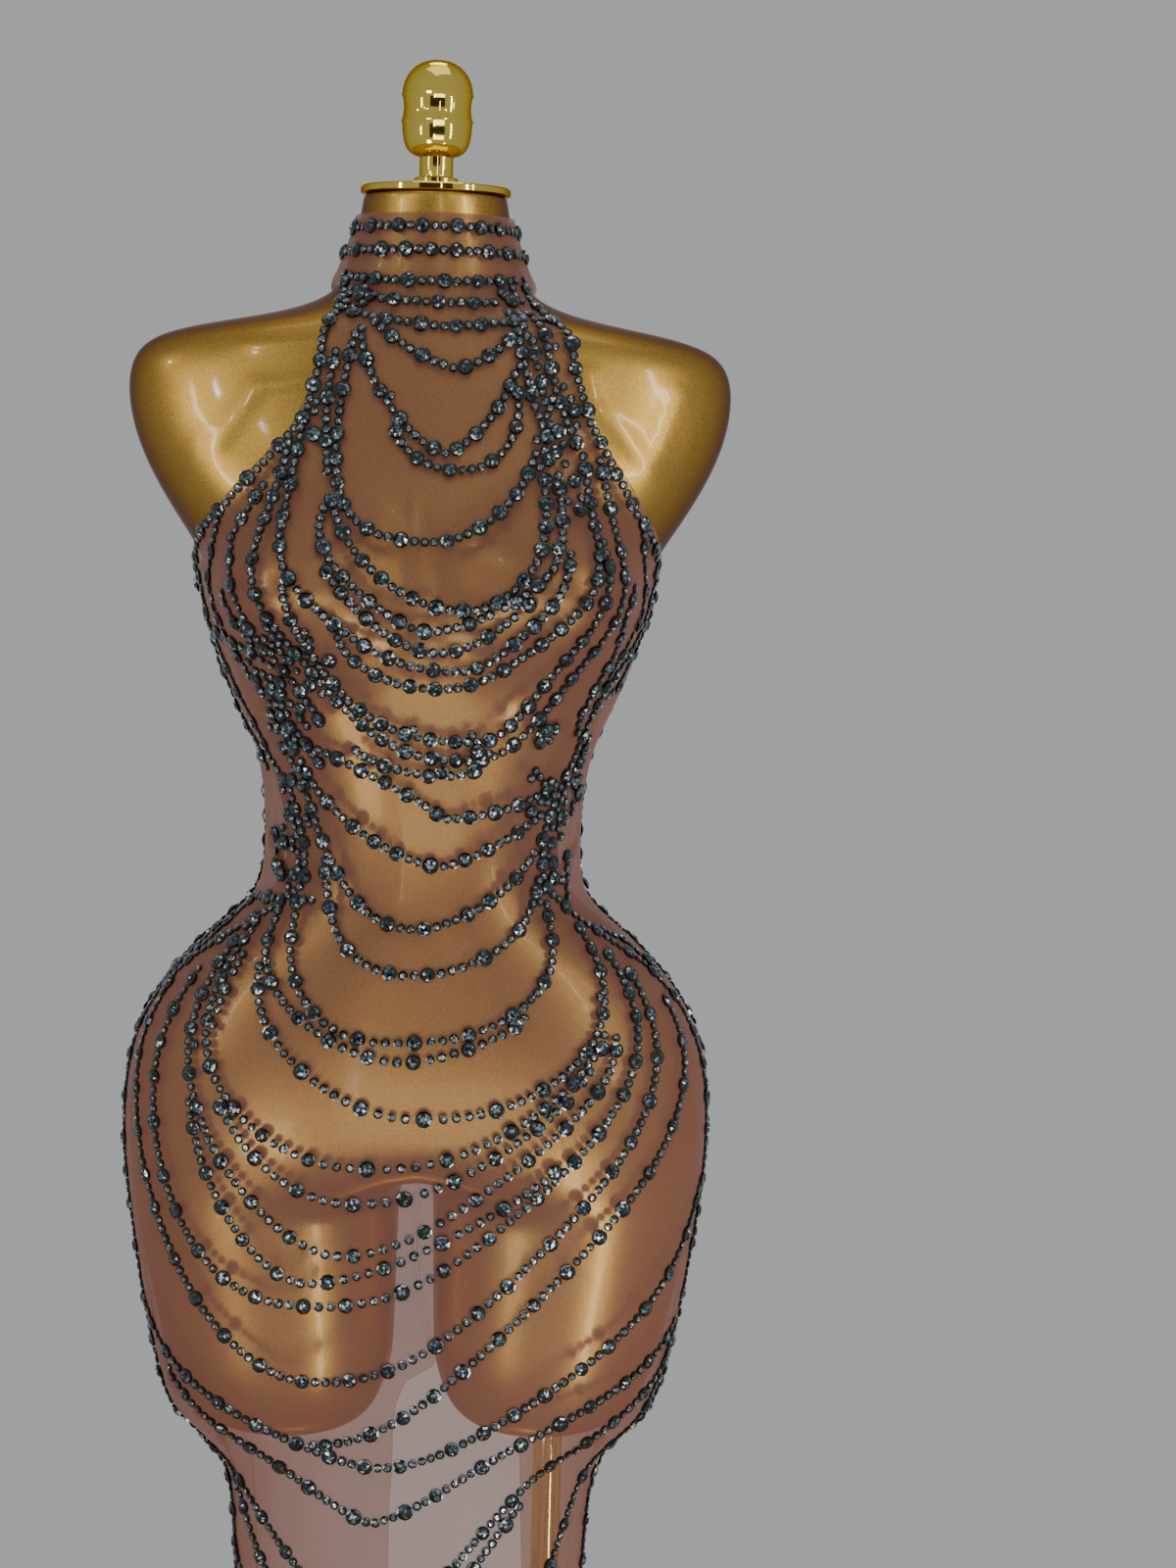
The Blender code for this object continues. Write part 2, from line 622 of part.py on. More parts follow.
def main():
    for obj in list(bpy.data.objects):
        bpy.data.objects.remove(obj, do_unlink=True)
    scene = bpy.context.scene
    gown = bpy.data.collections.new("gown_on_dress_form")
    spare = bpy.data.collections.new("row_pieces")
    scene.collection.children.link(gown)
    scene.collection.children.link(spare)

    net = material("brown stretch net", (0.20, 0.10, 0.07), 0.7, alpha=0.5)
    stones = material("dark blue glass stones", (0.02, 0.03, 0.045), 0.15)
    gold = material("gold paint", (0.36, 0.22, 0.06), 0.28, 1.0)
    bright_gold = material("polished gold", (0.55, 0.42, 0.16), 0.12, 1.0)

    build_torso(gown, gold)
    plate_foot = NECK_TOP + TOUCH
    plate_middle = plate_foot + PLATE_THICKNESS / 2
    cylinder("neck_plate", PLATE_RADIUS, PLATE_THICKNESS, (0, 0, plate_middle), gown, bright_gold, 1.2, 28)
    build_finial(plate_foot + PLATE_THICKNESS + TOUCH, gown, bright_gold)
    pole_foot = BASE_THICKNESS + TOUCH
    pole_length = THIGH_END_HEIGHT - TOUCH - pole_foot
    pole_middle = pole_foot + pole_length / 2
    cylinder("pole", POLE_RADIUS, pole_length, (POLE_ACROSS, 0, pole_middle), gown, bright_gold, 0.6, 16)
    cylinder("base", BASE_RADIUS, BASE_THICKNESS, (0, 0, BASE_THICKNESS / 2), gown, bright_gold, 1.5, 32)

    half = COLUMNS // 2
    build_panel("front", front_right_edge, front_left_edge, half, gown, net)
    build_panel("back_left", back_left_outer, back_left_inner, half // 2, gown, net)
    build_panel("back_right", back_right_inner, back_right_outer, half // 2, gown, net)

    for number, height in enumerate(COLLAR_RINGS):
        ring = [(360 * k / COLUMNS, height) for k in range(COLUMNS + 1)]
        name = "collar_ring_%d" % (number + 1)
        build_row(name, ring, STONE_ROW_WIDTH, gown, stones, COLLAR_RING_LIFT, closed=True)

    edges = [edge_route(EDGES, 1), edge_route(EDGES, 2), edge_route(SHOULDER_BAND, 1)]
    routes = gather(edges, [swag_route(swag) for swag in FRONT_SWAGS])
    join_rows("front_stones", edges[0], routes, gown, spare, stones)

    edges = [edge_route(BACK_EDGES, 1), edge_route(BACK_EDGES, 2)]
    routes = gather(edges, [swag_route(swag) for swag in BACK_SWAGS])
    join_rows("back_stones", edges[0], routes, gown, spare, stones)


main()
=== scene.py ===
# Sheer halter dress with draped rows of stones, worn by a gold dress form.
# Sizes are millimetres until a point is made. Angles go round the body:
# 0 is the front middle, 90 is the wearer's left at +X, 180 is the back middle.
import math
import random

import bmesh
import bpy
import numpy as np
from mathutils import Matrix, Vector


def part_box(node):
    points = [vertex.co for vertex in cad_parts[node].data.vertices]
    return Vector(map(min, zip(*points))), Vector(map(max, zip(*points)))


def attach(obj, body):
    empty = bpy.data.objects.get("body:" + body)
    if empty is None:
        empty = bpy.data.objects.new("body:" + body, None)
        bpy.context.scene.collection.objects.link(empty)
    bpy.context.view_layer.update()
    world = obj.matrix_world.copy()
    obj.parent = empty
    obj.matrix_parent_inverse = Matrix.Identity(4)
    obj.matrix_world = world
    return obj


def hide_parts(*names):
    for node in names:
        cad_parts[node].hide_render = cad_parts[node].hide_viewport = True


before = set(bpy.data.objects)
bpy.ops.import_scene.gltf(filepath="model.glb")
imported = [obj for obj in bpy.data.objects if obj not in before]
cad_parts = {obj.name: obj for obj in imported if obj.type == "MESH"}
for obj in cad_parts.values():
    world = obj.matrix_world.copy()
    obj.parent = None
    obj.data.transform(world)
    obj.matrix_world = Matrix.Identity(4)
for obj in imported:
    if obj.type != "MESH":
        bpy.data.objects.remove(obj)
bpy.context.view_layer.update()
mm = 0.001
print("frame loaded,", len(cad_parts), "nodes")

camera = {
    "place": (0.0, -2.0, 1.354), "lens": 65.79,
    "yaw": 3.290, "pitch": -6.4385, "roll": 1.4931,
}

# height, form half width, form front, form back, cloth half width, cloth front, cloth back,
# squareness of the section, armhole edge in degrees, twist of the cloth in degrees
sections = [
    (1531, 49, 50, 50, 51, 52, 52, 2.00, 90, 0),
    (1517, 51, 51, 52, 53, 53, 54, 2.00, 90, 0),
    (1500, 55, 52, 55, 58, 55, 57, 2.00, 90, 0),
    (1475, 62, 55, 60, 67, 58, 63, 2.00, 90, 1),
    (1463, 68, 58, 65, 71, 61, 68, 2.00, 62, 3),
    (1450, 98, 62, 72, 72, 64, 74, 2.00, 54, 4),
    (1441, 160, 64, 78, 74, 66, 80, 2.05, 51, 4),
    (1432, 195, 66, 83, 80, 68, 85, 2.10, 50, 4),
    (1418, 208, 69, 88, 96, 72, 90, 2.15, 51, 4),
    (1398, 211, 74, 94, 120, 78, 96, 2.15, 51, 4),
    (1372, 207, 82, 100, 140, 87, 103, 2.20, 52, 3),
    (1345, 196, 90, 104, 150, 96, 108, 2.25, 57, 2),
    (1318, 180, 95, 105, 152, 108, 108, 2.30, 63, 1),
    (1298, 166, 98, 104, 153, 116, 106, 2.30, 71, 0),
    (1282, 156, 98, 101, 156, 121, 105, 2.30, 79, 0),
    (1268, 151, 98, 98, 155, 124, 103, 2.30, 90, 0),
    (1245, 145, 97, 94, 151, 124, 99, 2.30, 90, 0),
    (1215, 137, 93, 88, 144, 117, 95, 2.30, 90, 0),
    (1185, 126, 90, 80, 132, 107, 90, 2.28, 90, 0),
    (1155, 113, 87, 75, 117, 98, 86, 2.25, 90, 0),
    (1122, 101, 82, 69, 111, 92, 82, 2.20, 90, 0),
    (1090, 94, 80, 65, 110, 88, 80, 2.15, 90, 0),
    (1064, 95, 81, 65, 111, 88, 81, 2.15, 90, 0),
    (1045, 108, 83, 69, 114, 88, 84, 2.15, 90, 0),
    (1021, 144, 87, 81, 147, 91, 92, 2.15, 90, 0),
    (1000, 166, 90, 94, 169, 93, 101, 2.20, 90, 0),
    (976, 184, 93, 107, 188, 97, 112, 2.25, 90, 0),
    (946, 199, 97, 119, 203, 101, 123, 2.30, 90, 0),
    (910, 204, 99, 126, 208, 103, 131, 2.30, 90, 0),
    (873, 205, 98, 124, 209, 102, 130, 2.30, 90, 0),
    (840, 202, 95, 114, 206, 99, 125, 2.35, 90, 0),
    (802, 195, 91, 101, 200, 97, 112, 2.45, 90, 0),
    (762, 186, 87, 90, 194, 96, 103, 2.45, 90, 0),
    (718, 176, 83, 84, 185, 93, 96, 2.45, 90, -3),
    (690, 171, 81, 80, 177, 90, 93, 2.45, 90, -8),
    (677, 160, 75, 74, 169, 88, 91, 2.35, 90, -11),
    (664, 138, 64, 64, 154, 87, 89, 2.30, 90, -14),
    (650, 0, 0, 0, 139, 86, 88, 2.20, 90, -17),
    (634, 0, 0, 0, 132, 86, 87, 2.15, 90, -19),
    (610, 0, 0, 0, 129, 86, 86, 2.10, 90, -20),
    (570, 0, 0, 0, 126, 86, 87, 2.08, 90, -20),
    (500, 0, 0, 0, 123, 87, 88, 2.05, 90, -21),
    (350, 0, 0, 0, 122, 92, 94, 2.00, 90, -21),
    (200, 0, 0, 0, 127, 98, 102, 2.00, 90, -21),
    (60, 0, 0, 0, 136, 106, 110, 2.00, 90, -21),
]
rowTable = np.array(sections, float)
levels = rowTable[:, 0]

form = {
    "bust": (78, 1262, 78, 88, 42),        # across, height, half width, half height, how proud
    "seat": (88, 905, 98, 112, 26),
    "hipLevel": 873, "crotch": 850, "thighEnd": 664,
    "thighGap": (11, 15),                  # half the gap, at the crotch and at the end
    "thighDepth": 0.82,                    # against the body's depth at the same height
    "thighOutside": (176, 166),            # distance from the middle, at 718 and at the end
    "endRounding": [(718, 1.0), (702, 0.955), (689, 0.90), (678, 0.82), (669, 0.68), (664, 0.5)],
    "stepsRound": 56, "smoothing": 2,
    # low ridges on the front: across and height of both ends, half width, how proud
    "ridges": [
        (106, 1412, 112, 1390, 6, 1.0), (112, 1390, 148, 1350, 6, 1.3), (148, 1350, 168, 1400, 7, 1.2),
        (-117, 1398, -143, 1359, 7, 1.3), (-122, 1427, -70, 1429, 6, 1.0), (-122, 1396, -84, 1402, 6, 0.9),
        (-150, 1368, -158, 1354, 6, 0.6), (-11, 1325, -10, 1235, 3, 0.4), (-13, 1106, -14, 1060, 3, 0.35),
    ],
}

cloth = {
    "stepsRound": 28, "hem": 60, "top": 1517,
    "middle": 0.6,                         # middle of the wall, from its inner face
    "clearance": 0.6, "clearanceShare": 0.018, "armholeShare": 0.042,
    # walking slit at the back: height, half its opening in degrees
    "slit": [
        (677, 0.0), (664, 17), (650, 24), (634, 28), (610, 29), (570, 30), (500, 31), (350, 32), (60, 34),
    ],
    # soft folds: angle, top, bottom, half width in degrees, height of the fold
    "folds": [
        (-52, 1150, 1020, 7, 3.0), (57, 1160, 1040, 6, 3.5), (-30, 640, 60, 9, 3.0),
        (18, 630, 60, 8, 2.5), (52, 650, 60, 8, 3.5), (-72, 640, 60, 8, 3.0),
        (95, 640, 60, 9, 3.0), (-110, 650, 60, 9, 3.5), (130, 660, 200, 6, 2.0),
        (-140, 650, 150, 8, 2.5), (180, 1150, 1020, 12, 3.0), (160, 1120, 1030, 6, 2.0),
    ],
    # creases: angle and height of both ends, half width, how proud
    "creases": [
        (-24, 1030, 6, 1022, 5, 1.6), (2, 1026, 27, 1034, 4, 1.3), (-14, 1018, 14, 1013, 4, 0.9),
        (-60, 1140, -68, 1092, 6, 2.2), (-70, 1120, -62, 1070, 5, 1.6), (64, 1150, 74, 1128, 5, 2.0),
        (70, 1120, 62, 1060, 6, 1.8), (22, 1487, 52, 1479, 3, 1.0), (-80, 1100, -60, 1052, 5, 1.5),
        (82, 1104, 58, 1050, 5, 1.6), (-30, 1172, -12, 1160, 4, 0.7), (34, 1168, 48, 1150, 4, 0.9),
        (-70, 700, -40, 664, 6, 1.4), (74, 690, 46, 652, 6, 1.5), (170, 1102, 200, 1094, 5, 1.2),
        (150, 1072, 172, 1066, 5, 1.5), (196, 1060, 222, 1070, 5, 1.3), (104, 1096, 124, 1060, 6, 1.8),
        (256, 1100, 238, 1056, 6, 1.6), (140, 700, 158, 672, 5, 1.2),
    ],
}

stones = {
    "big": 5.6, "small": 3.3,              # radius
    # shares of two stones' radii: nearer than the first none is set, nearer than the second
    # it is lifted by some millimetres, and the third is the step along a row
    "tooNear": 0.70, "near": 0.96, "nearLift": 0.9, "step": 0.98,
    "secondStrand": 0.46,                  # crowding above which a row gets a second strand
    # in a heap: share of big stones, least and most lift, how near two may be
    "heapBig": 0.35, "heapLift": (0.8, 3.2), "heapNear": 0.58,
    # places where the stones crowd: angle, height, half width in degrees, half height, share
    "crowded": [
        (-44, 1200, 14, 60, 0.8), (-50, 1420, 12, 60, 0.9), (46, 1400, 14, 80, 0.95),
        (54, 1120, 14, 40, 1.0), (-62, 1290, 18, 70, 0.4), (58, 1290, 16, 90, 0.4),
        (-52, 1100, 10, 60, 0.8), (52, 1070, 10, 50, 0.6), (-68, 990, 16, 60, 0.44),
        (66, 1000, 14, 60, 0.44), (10, 1165, 26, 22, 0.6), (30, 890, 16, 40, 0.35),
    ],
    # stones heaped on each other: angle, height, half width and half height, how many
    "heaps": [
        (59, 1128, 20, 18, 60), (42, 1172, 10, 8, 14), (-50, 1158, 8, 20, 20), (-62, 1082, 8, 20, 16),
        (-48, 1453, 11, 13, 24), (45, 1437, 10, 13, 22), (44, 1408, 12, 22, 30), (20, 1160, 9, 6, 8),
    ],
    # swags on the front: right end angle and height, fullness of that side,
    # lowest point, fullness of the other side, left end angle and height
    "frontSwags": [
        (-62, 1475, 1.8, -2, 1470, 1.8, 62, 1475),
        (-53, 1461, 1.5, 4, 1456, 2.0, 57, 1461),
        (-50, 1451, 1.3, 6, 1440, 1.5, 57, 1450),
        (-41, 1457, 1.3, 12, 1412, 1.4, 41, 1442),
        (-35, 1438, 1.4, 6, 1356, 1.4, 39, 1425),
        (-18, 1394, 2.1, 10, 1345, 2.2, 36, 1402),
        (-37, 1435, 3.2, 3, 1298, 1.6, 41, 1379),
        (-42, 1423, 2.0, 11, 1254, 2.1, 44, 1452),
        (-33, 1312, 1.5, 0, 1240, 1.7, 36, 1300),
        (-33, 1320, 1.8, 3, 1226, 2.0, 45, 1400),
        (-46, 1391, 2.4, 10, 1214, 2.0, 42, 1363),
        (-26, 1236, 2.0, 3, 1202, 2.3, 51, 1398),
        (-37, 1281, 2.9, 20, 1166, 2.0, 49, 1351),
        (-48, 1380, 2.7, 16, 1153, 2.5, 54, 1368),
        (-26, 1160, 1.6, 6, 1142, 1.6, 24, 1152),
        (-59, 1170, 0.9, 8, 1113, 1.9, 67, 1168),
        (-48, 1150, 1.6, 8, 1080, 1.3, 55, 1125),
        (-52, 1210, 2.3, -2, 1037, 1.6, 52, 1106),
        (-41, 1082, 2.3, -4, 1006, 1.9, 50, 1073),
        (-55, 1120, 2.5, -13, 961, 2.7, 54, 1080),
        (-60, 1050, 1.9, -7, 948, 1.6, 39, 984),
        (-58, 1041, 2.1, -1, 910, 2.8, 65, 1088),
        (-66, 1038, 2.6, -18, 875, 2.3, 64, 1047),
        (-63, 1013, 2.4, -23, 850, 1.9, 59, 992),
        (-69, 1033, 2.1, -27, 813, 1.6, 60, 965),
        (-65, 954, 2.0, -38, 793, 1.4, 46, 879),
        (-74, 1001, 2.9, -37, 777, 2.0, 68, 1018),
        (-82, 1040, 2.2, -38, 723, 2.0, 71, 1008),
        (-86, 780, 1.7, -15, 661, 1.9, 84, 880),
        (-52, 690, 1.2, -42, 676, 1.8, 78, 985),
        (-76, 719, 1.4, -17, 621, 1.3, 81, 751),
        (-82, 668, 1.15, -16, 530, 1.1, 82, 725),
        (-74, 640, 1.5, -14, 497, 1.1, 58, 668),
        (-81, 600, 1.4, -12, 440, 1.7, 81, 750),
        (-81, 505, 1.3, -12, 330, 1.5, 81, 560),
        (-82, 425, 1.3, -12, 250, 1.4, 82, 455),
        (-82, 340, 1.3, -12, 170, 1.3, 82, 355),
        (-82, 255, 1.3, -12, 95, 1.3, 82, 265),
    ],
    "backSwags": [
        (121, 1462, 1.6, 180, 1452, 1.6, 239, 1462),
        (130, 1436, 1.5, 180, 1402, 1.5, 230, 1436),
        (129, 1405, 1.7, 180, 1350, 1.7, 231, 1405),
        (127, 1368, 1.8, 180, 1290, 1.8, 233, 1368),
        (119, 1325, 1.9, 180, 1232, 1.9, 241, 1325),
        (100, 1275, 1.9, 180, 1172, 1.9, 260, 1275),
        (96, 1180, 1.7, 180, 1100, 1.7, 264, 1180),
        (96, 1100, 1.6, 180, 1020, 1.6, 264, 1100),
        (96, 1030, 1.9, 180, 935, 1.9, 264, 1030),
        (95, 950, 1.8, 180, 872, 1.8, 266, 950),
    ],
    # lines the rows gather into: height, wearer's right, wearer's left
    "frontEdges": [
        (1476, -66, 66), (1462, -56, 60), (1446, -49, 57), (1418, -46, 54), (1378, -46, 54),
        (1345, -53, 57), (1318, -60, 61), (1298, -69, 68), (1278, -78, 76), (1240, -76, 72),
        (1190, -72, 62), (1150, -66, 61), (1128, -56, 56), (1095, -50, 51), (1064, -50, 53),
        (1050, -60, 62), (1030, -72, 71), (1005, -81, 80), (975, -86, 84), (900, -87, 85),
        (800, -86, 84), (700, -84, 83), (610, -80, 81), (400, -82, 82), (72, -82, 82),
    ],
    "backEdges": [
        (1462, 122, 238), (1432, 130, 230), (1398, 129, 231), (1360, 126, 234), (1318, 117, 243),
        (1290, 106, 254), (1260, 97, 263), (1150, 96, 264), (1060, 96, 264), (900, 94, 266),
        (700, 95, 265), (610, 97, 263), (400, 97, 263), (72, 97, 263),
    ],
    "shoulderBand": [(1452, 46), (1425, 44), (1395, 44), (1365, 46)],
    "collarRings": [1507, 1491],
    # strands that hang between the rows at the sides
    "strands": [
        [(-51, 1332), (-55, 1298), (-49, 1246), (-47, 1224), (-36, 1174)],
        [(-74, 1283), (-86, 1266), (-86, 1230), (-84, 1171), (-72, 1153), (-69, 1135)],
        [(-72, 1234), (-55, 1225), (-40, 1205)], [(-49, 1132), (-48, 1103), (-53, 1052)],
        [(-46, 1053), (-78, 1048), (-86, 1028), (-86, 972)],
        [(72, 1281), (80, 1253), (74, 1226), (72, 1201), (59, 1188)],
        [(57, 1270), (54, 1250), (58, 1225), (56, 1182), (57, 1170)],
        [(43, 1146), (60, 1113), (57, 1094), (52, 1067)],
        [(62, 1068), (59, 1062), (64, 1045), (70, 1033)], [(71, 1034), (81, 1021), (84, 993)],
        [(-60, 1318), (-66, 1270), (-60, 1215), (-54, 1170)],
        [(62, 1318), (66, 1262), (62, 1210), (60, 1160)],
        [(50, 1138), (58, 1132), (62, 1118), (56, 1108), (50, 1116)],
        [(46, 1130), (56, 1122), (63, 1106), (57, 1098)],
        [(-50, 1240), (-42, 1215), (-44, 1190), (-36, 1172)], [(-56, 1215), (-48, 1195), (-42, 1172)],
        [(-56, 1262), (-50, 1222), (-52, 1190), (-48, 1162)], [(-52, 1120), (-56, 1090), (-50, 1062)],
    ],
}


def rowAt(place):
    # every column of the sections at a place between the rows, on a smooth line
    place = min(max(place, 0.0), len(sections) - 1.0)
    first = min(int(place), len(sections) - 2)
    picks = np.clip(np.arange(first - 1, first + 3), 0, len(sections) - 1)
    rows = rowTable[picks].copy()
    if first == 0:
        rows[0] = 2 * rowTable[0] - rowTable[1]
    if first == len(sections) - 2:
        rows[3] = 2 * rowTable[-1] - rowTable[-2]
    return smoothShares(place - first) @ rows


def smoothShares(share):
    s = np.asarray(share, float)
    return np.stack([(1 - s) ** 3, 3 * s ** 3 - 6 * s ** 2 + 4,
                     -3 * s ** 3 + 3 * s ** 2 + 3 * s + 1, s ** 3], -1) / 6


def linearRow(height):
    return [np.interp(-height, -levels, rowTable[:, k]) for k in range(rowTable.shape[1])]


def ovalRadius(turn, halfWidth, front, back, power):
    across, along = math.sin(turn), math.cos(turn)
    depth = front if along > 0 else back
    return (abs(across / halfWidth) ** power + abs(along / depth) ** power) ** (-1 / power)


def softForm(across, height, shape):
    centre, level, halfWidth, halfHeight, proud = shape
    reach = math.hypot((abs(across) - centre) / halfWidth, (height - level) / halfHeight)
    return proud * math.cos(math.pi / 2 * min(reach, 1)) ** 2


def formRadius(turn, row):
    radius = ovalRadius(turn, row[1], row[2], row[3], row[7])
    shape = form["bust"] if math.cos(turn) > 0 else form["seat"]
    return radius + softForm(radius * math.sin(turn), row[0], shape)


def foldAt(angle, height):
    total = 0
    for centre, top, bottom, halfWidth, proud in cloth["folds"]:
        aside = abs((angle - centre + 180) % 360 - 180) / halfWidth
        if aside < 1 and bottom <= height < top:
            fade = min((top - height) / 60, 1)
            fade *= min((height - bottom) / 60, 1) if bottom > cloth["hem"] else 1
            total += proud * fade * math.cos(math.pi / 2 * aside) ** 2
    return total


def tautCloth():
    # inner radius of the stretched net for each level and column
    count = cloth["stepsRound"]
    turns = [math.tau * c / count for c in range(count)]
    least = []
    for row in sections:
        share = cloth["armholeShare"] if 1215 <= row[0] <= 1475 else cloth["clearanceShare"]
        line = []
        for turn in turns:
            hull = ovalRadius(turn, row[4], row[5], row[6], row[7])
            inner = formRadius(turn, row) * (1 + share) + cloth["clearance"] if row[1] else 0
            line.append(max(hull, inner))
        least.append(line)
    least = np.array(least)
    grid = least.copy()
    gaps = -np.diff(levels)
    upShare = (gaps[1:] / (gaps[:-1] + gaps[1:]))[:, None]
    for _ in range(12):
        left, right = np.roll(grid, 1, 1), np.roll(grid, -1, 1)
        hoop = 2 * math.cos(math.tau / count) * left * right / (left + right)
        upright = grid[:-2] * (1 - upShare) + grid[2:] * upShare
        grid[1:-1] = np.maximum(least[1:-1], (hoop[1:-1] + 0.35 * upright) / 1.35)
    for i, height in enumerate(levels):
        grid[i] += [foldAt(math.degrees(turn), height) for turn in turns]
    return grid


clothGrid = tautCloth()
finePlaces = np.linspace(0, len(sections) - 1, 1200)
fineHeights = np.array([rowAt(place)[0] for place in finePlaces])


def creaseAt(angles, heights, radii):
    total = np.zeros_like(heights)
    for a1, h1, a2, h2, halfWidth, proud in cloth["creases"]:
        scale = np.radians(radii)
        x = ((angles - a1 + 180) % 360 - 180) * scale
        y = heights - h1
        wayX, wayY = ((a2 - a1 + 180) % 360 - 180) * scale, h2 - h1
        along = np.clip((x * wayX + y * wayY) / (wayX ** 2 + wayY ** 2), 0, 1)
        away = np.hypot(x - along * wayX, y - along * wayY) / halfWidth
        fade = np.sin(np.pi * np.clip(along, 0.03, 0.97))
        total += proud * fade * np.exp(-away ** 2)
    return total


def clothRadius(angles, heights):
    # radius of the net's inner face, smooth in both directions
    angles, heights = np.broadcast_arrays(np.asarray(angles, float), np.asarray(heights, float))
    place = np.interp(-heights, -fineHeights, finePlaces)
    first = np.clip(place.astype(int), 0, len(sections) - 2)
    upShares = smoothShares(place - first)
    column = (angles / 360 * cloth["stepsRound"]) % cloth["stepsRound"]
    base = column.astype(int)
    roundShares = smoothShares(column - base)
    padded = np.vstack([2 * clothGrid[0] - clothGrid[1], clothGrid, 2 * clothGrid[-1] - clothGrid[-2]])
    radii = np.zeros(angles.shape)
    for i in range(4):
        for j in range(4):
            picked = padded[first + i, (base + j - 1) % cloth["stepsRound"]]
            radii += upShares[..., i] * roundShares[..., j] * picked
    return radii * 0.995 + creaseAt(angles, heights, radii)


def clothPoints(angles, heights, out=0.0):
    radii = clothRadius(angles, heights) + out
    turns = np.radians(np.asarray(angles, float))
    heights = np.broadcast_to(heights, radii.shape)
    return np.stack([radii * np.sin(turns), -radii * np.cos(turns), heights], -1) * mm


def clothNormals(angles, heights):
    roundWay = clothPoints(angles + 1.5, heights) - clothPoints(angles - 1.5, heights)
    upWay = clothPoints(angles, heights + 4) - clothPoints(angles, heights - 4)
    normals = np.cross(roundWay, upWay)
    return normals / np.linalg.norm(normals, axis=-1, keepdims=True)


def deselectAll():
    for thing in bpy.context.selected_objects:
        thing.select_set(False)


def fromMesh(name, points, faces, smooth=True):
    mesh = bpy.data.meshes.new(name)
    mesh.from_pydata([tuple(p) for p in points], [], faces)
    piece = bpy.data.objects.new(name, mesh)
    bpy.context.scene.collection.objects.link(piece)
    if smooth:
        mesh.shade_smooth()
    return piece


def applyModifier(piece, kind, **values):
    modifier = piece.modifiers.new(kind.lower(), kind)
    for key, value in values.items():
        setattr(modifier, key, value)
    deselectAll()
    piece.select_set(True)
    bpy.context.view_layer.objects.active = piece
    bpy.ops.object.modifier_apply(modifier=modifier.name)


def linear(code):
    # an sRGB hex colour as linear red, green, blue and 1
    parts = [int(code[k:k + 2], 16) / 255 for k in (1, 3, 5)]
    return (*[c / 12.92 if c <= 0.04045 else ((c + 0.055) / 1.055) ** 2.4 for c in parts], 1)


def addNode(tree, kind, settings=None, links=None):
    node = tree.nodes.new(kind)
    for key, value in (settings or {}).items():
        if key in node.inputs:
            node.inputs[key].default_value = value
        else:
            setattr(node, key, value)
    for key, source in (links or {}).items():
        tree.links.new(source, node.inputs[key])
    return node


def newMaterial(name, **values):
    made = bpy.data.materials.new(name)
    made.use_nodes = True
    shader = made.node_tree.nodes["Principled BSDF"]
    for key, value in values.items():
        shader.inputs[key].default_value = value
    return made, made.node_tree, shader


def dress(piece, madeMaterial, slotName, *nodes):
    piece.data.materials.clear()
    piece.data.materials.append(madeMaterial)
    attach(piece, "root")
    if nodes:
        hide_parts(*nodes)
    return piece


# Gold flake spray under clear lacquer on fibreglass: a metallic body colour with painted shade that
# turns it brown at the edges, and sharp thin highlights from the lacquer on top.
goldPaint, tree, shader = newMaterial(
    "lacquered gold flake paint", Metallic=0.9, Roughness=0.33)
shader.inputs["Coat Weight"].default_value = 0.32
shader.inputs["Coat Roughness"].default_value = 0.08
shader.inputs["Coat Tint"].default_value = linear("#fbf0d6")
shader.inputs["Specular Tint"].default_value = linear("#b08038")
coords = addNode(tree, "ShaderNodeTexCoord")
flake = addNode(tree, "ShaderNodeTexNoise", {"Scale": 1400.0, "Detail": 1.0},
                {"Vector": coords.outputs["Object"]})
flakeRamp = addNode(tree, "ShaderNodeValToRGB", {}, {"Fac": flake.outputs["Fac"]})
flakeRamp.color_ramp.elements[0].position = 0.35
flakeRamp.color_ramp.elements[0].color = linear("#b08836")
flakeRamp.color_ramp.elements[1].position = 0.68
flakeRamp.color_ramp.elements[1].color = linear("#d8b060")
paintedEdgeShadeMask = addNode(tree, "ShaderNodeLayerWeight", {"Blend": 0.5})
# painted shade: the base colour is multiplied towards dark brown where the surface turns away from the view
dark = addNode(tree, "ShaderNodeMix", {"data_type": "RGBA", "blend_type": "MULTIPLY"},
               {"Factor": paintedEdgeShadeMask.outputs["Facing"]})
dark.inputs[7].default_value = linear("#6c4712")
tree.links.new(flakeRamp.outputs["Color"], dark.inputs[6])
tree.links.new(dark.outputs[2], shader.inputs["Base Color"])

# Brass plated and polished: a mirror with a light yellow tint, and painted shade that darkens the tint at
# the edges.
polishedBrass, tree, shader = newMaterial(
    "polished brass plating", Metallic=1.0, Roughness=0.08)
shader.inputs["Specular Tint"].default_value = linear("#c79a3a")
face = addNode(tree, "ShaderNodeLayerWeight", {"Blend": 0.35})
# painted shade: light yellow where the surface faces the view, a darker brass yellow where it turns away
tint = addNode(tree, "ShaderNodeValToRGB", {}, {"Fac": face.outputs["Facing"]})
tint.color_ramp.elements[0].color = linear("#f4d96a")
tint.color_ramp.elements[1].color = linear("#c8a03a")
tree.links.new(tint.outputs["Color"], shader.inputs["Base Color"])

# Knitted power net of nylon and elastane, sheer and brown: it tints what lies
# behind it, and looks denser where it turns away.
powerNet, tree, shader = newMaterial("sheer brown power net", Roughness=0.62)
shader.inputs["Base Color"].default_value = linear("#955f4c")
shader.inputs["Sheen Weight"].default_value = 0.15
shader.inputs["Sheen Roughness"].default_value = 0.45
facing = addNode(tree, "ShaderNodeLayerWeight", {"Blend": 0.35})
density = addNode(tree, "ShaderNodeMapRange", {"To Min": 0.25, "To Max": 0.74},
                  {"Value": facing.outputs["Facing"]})
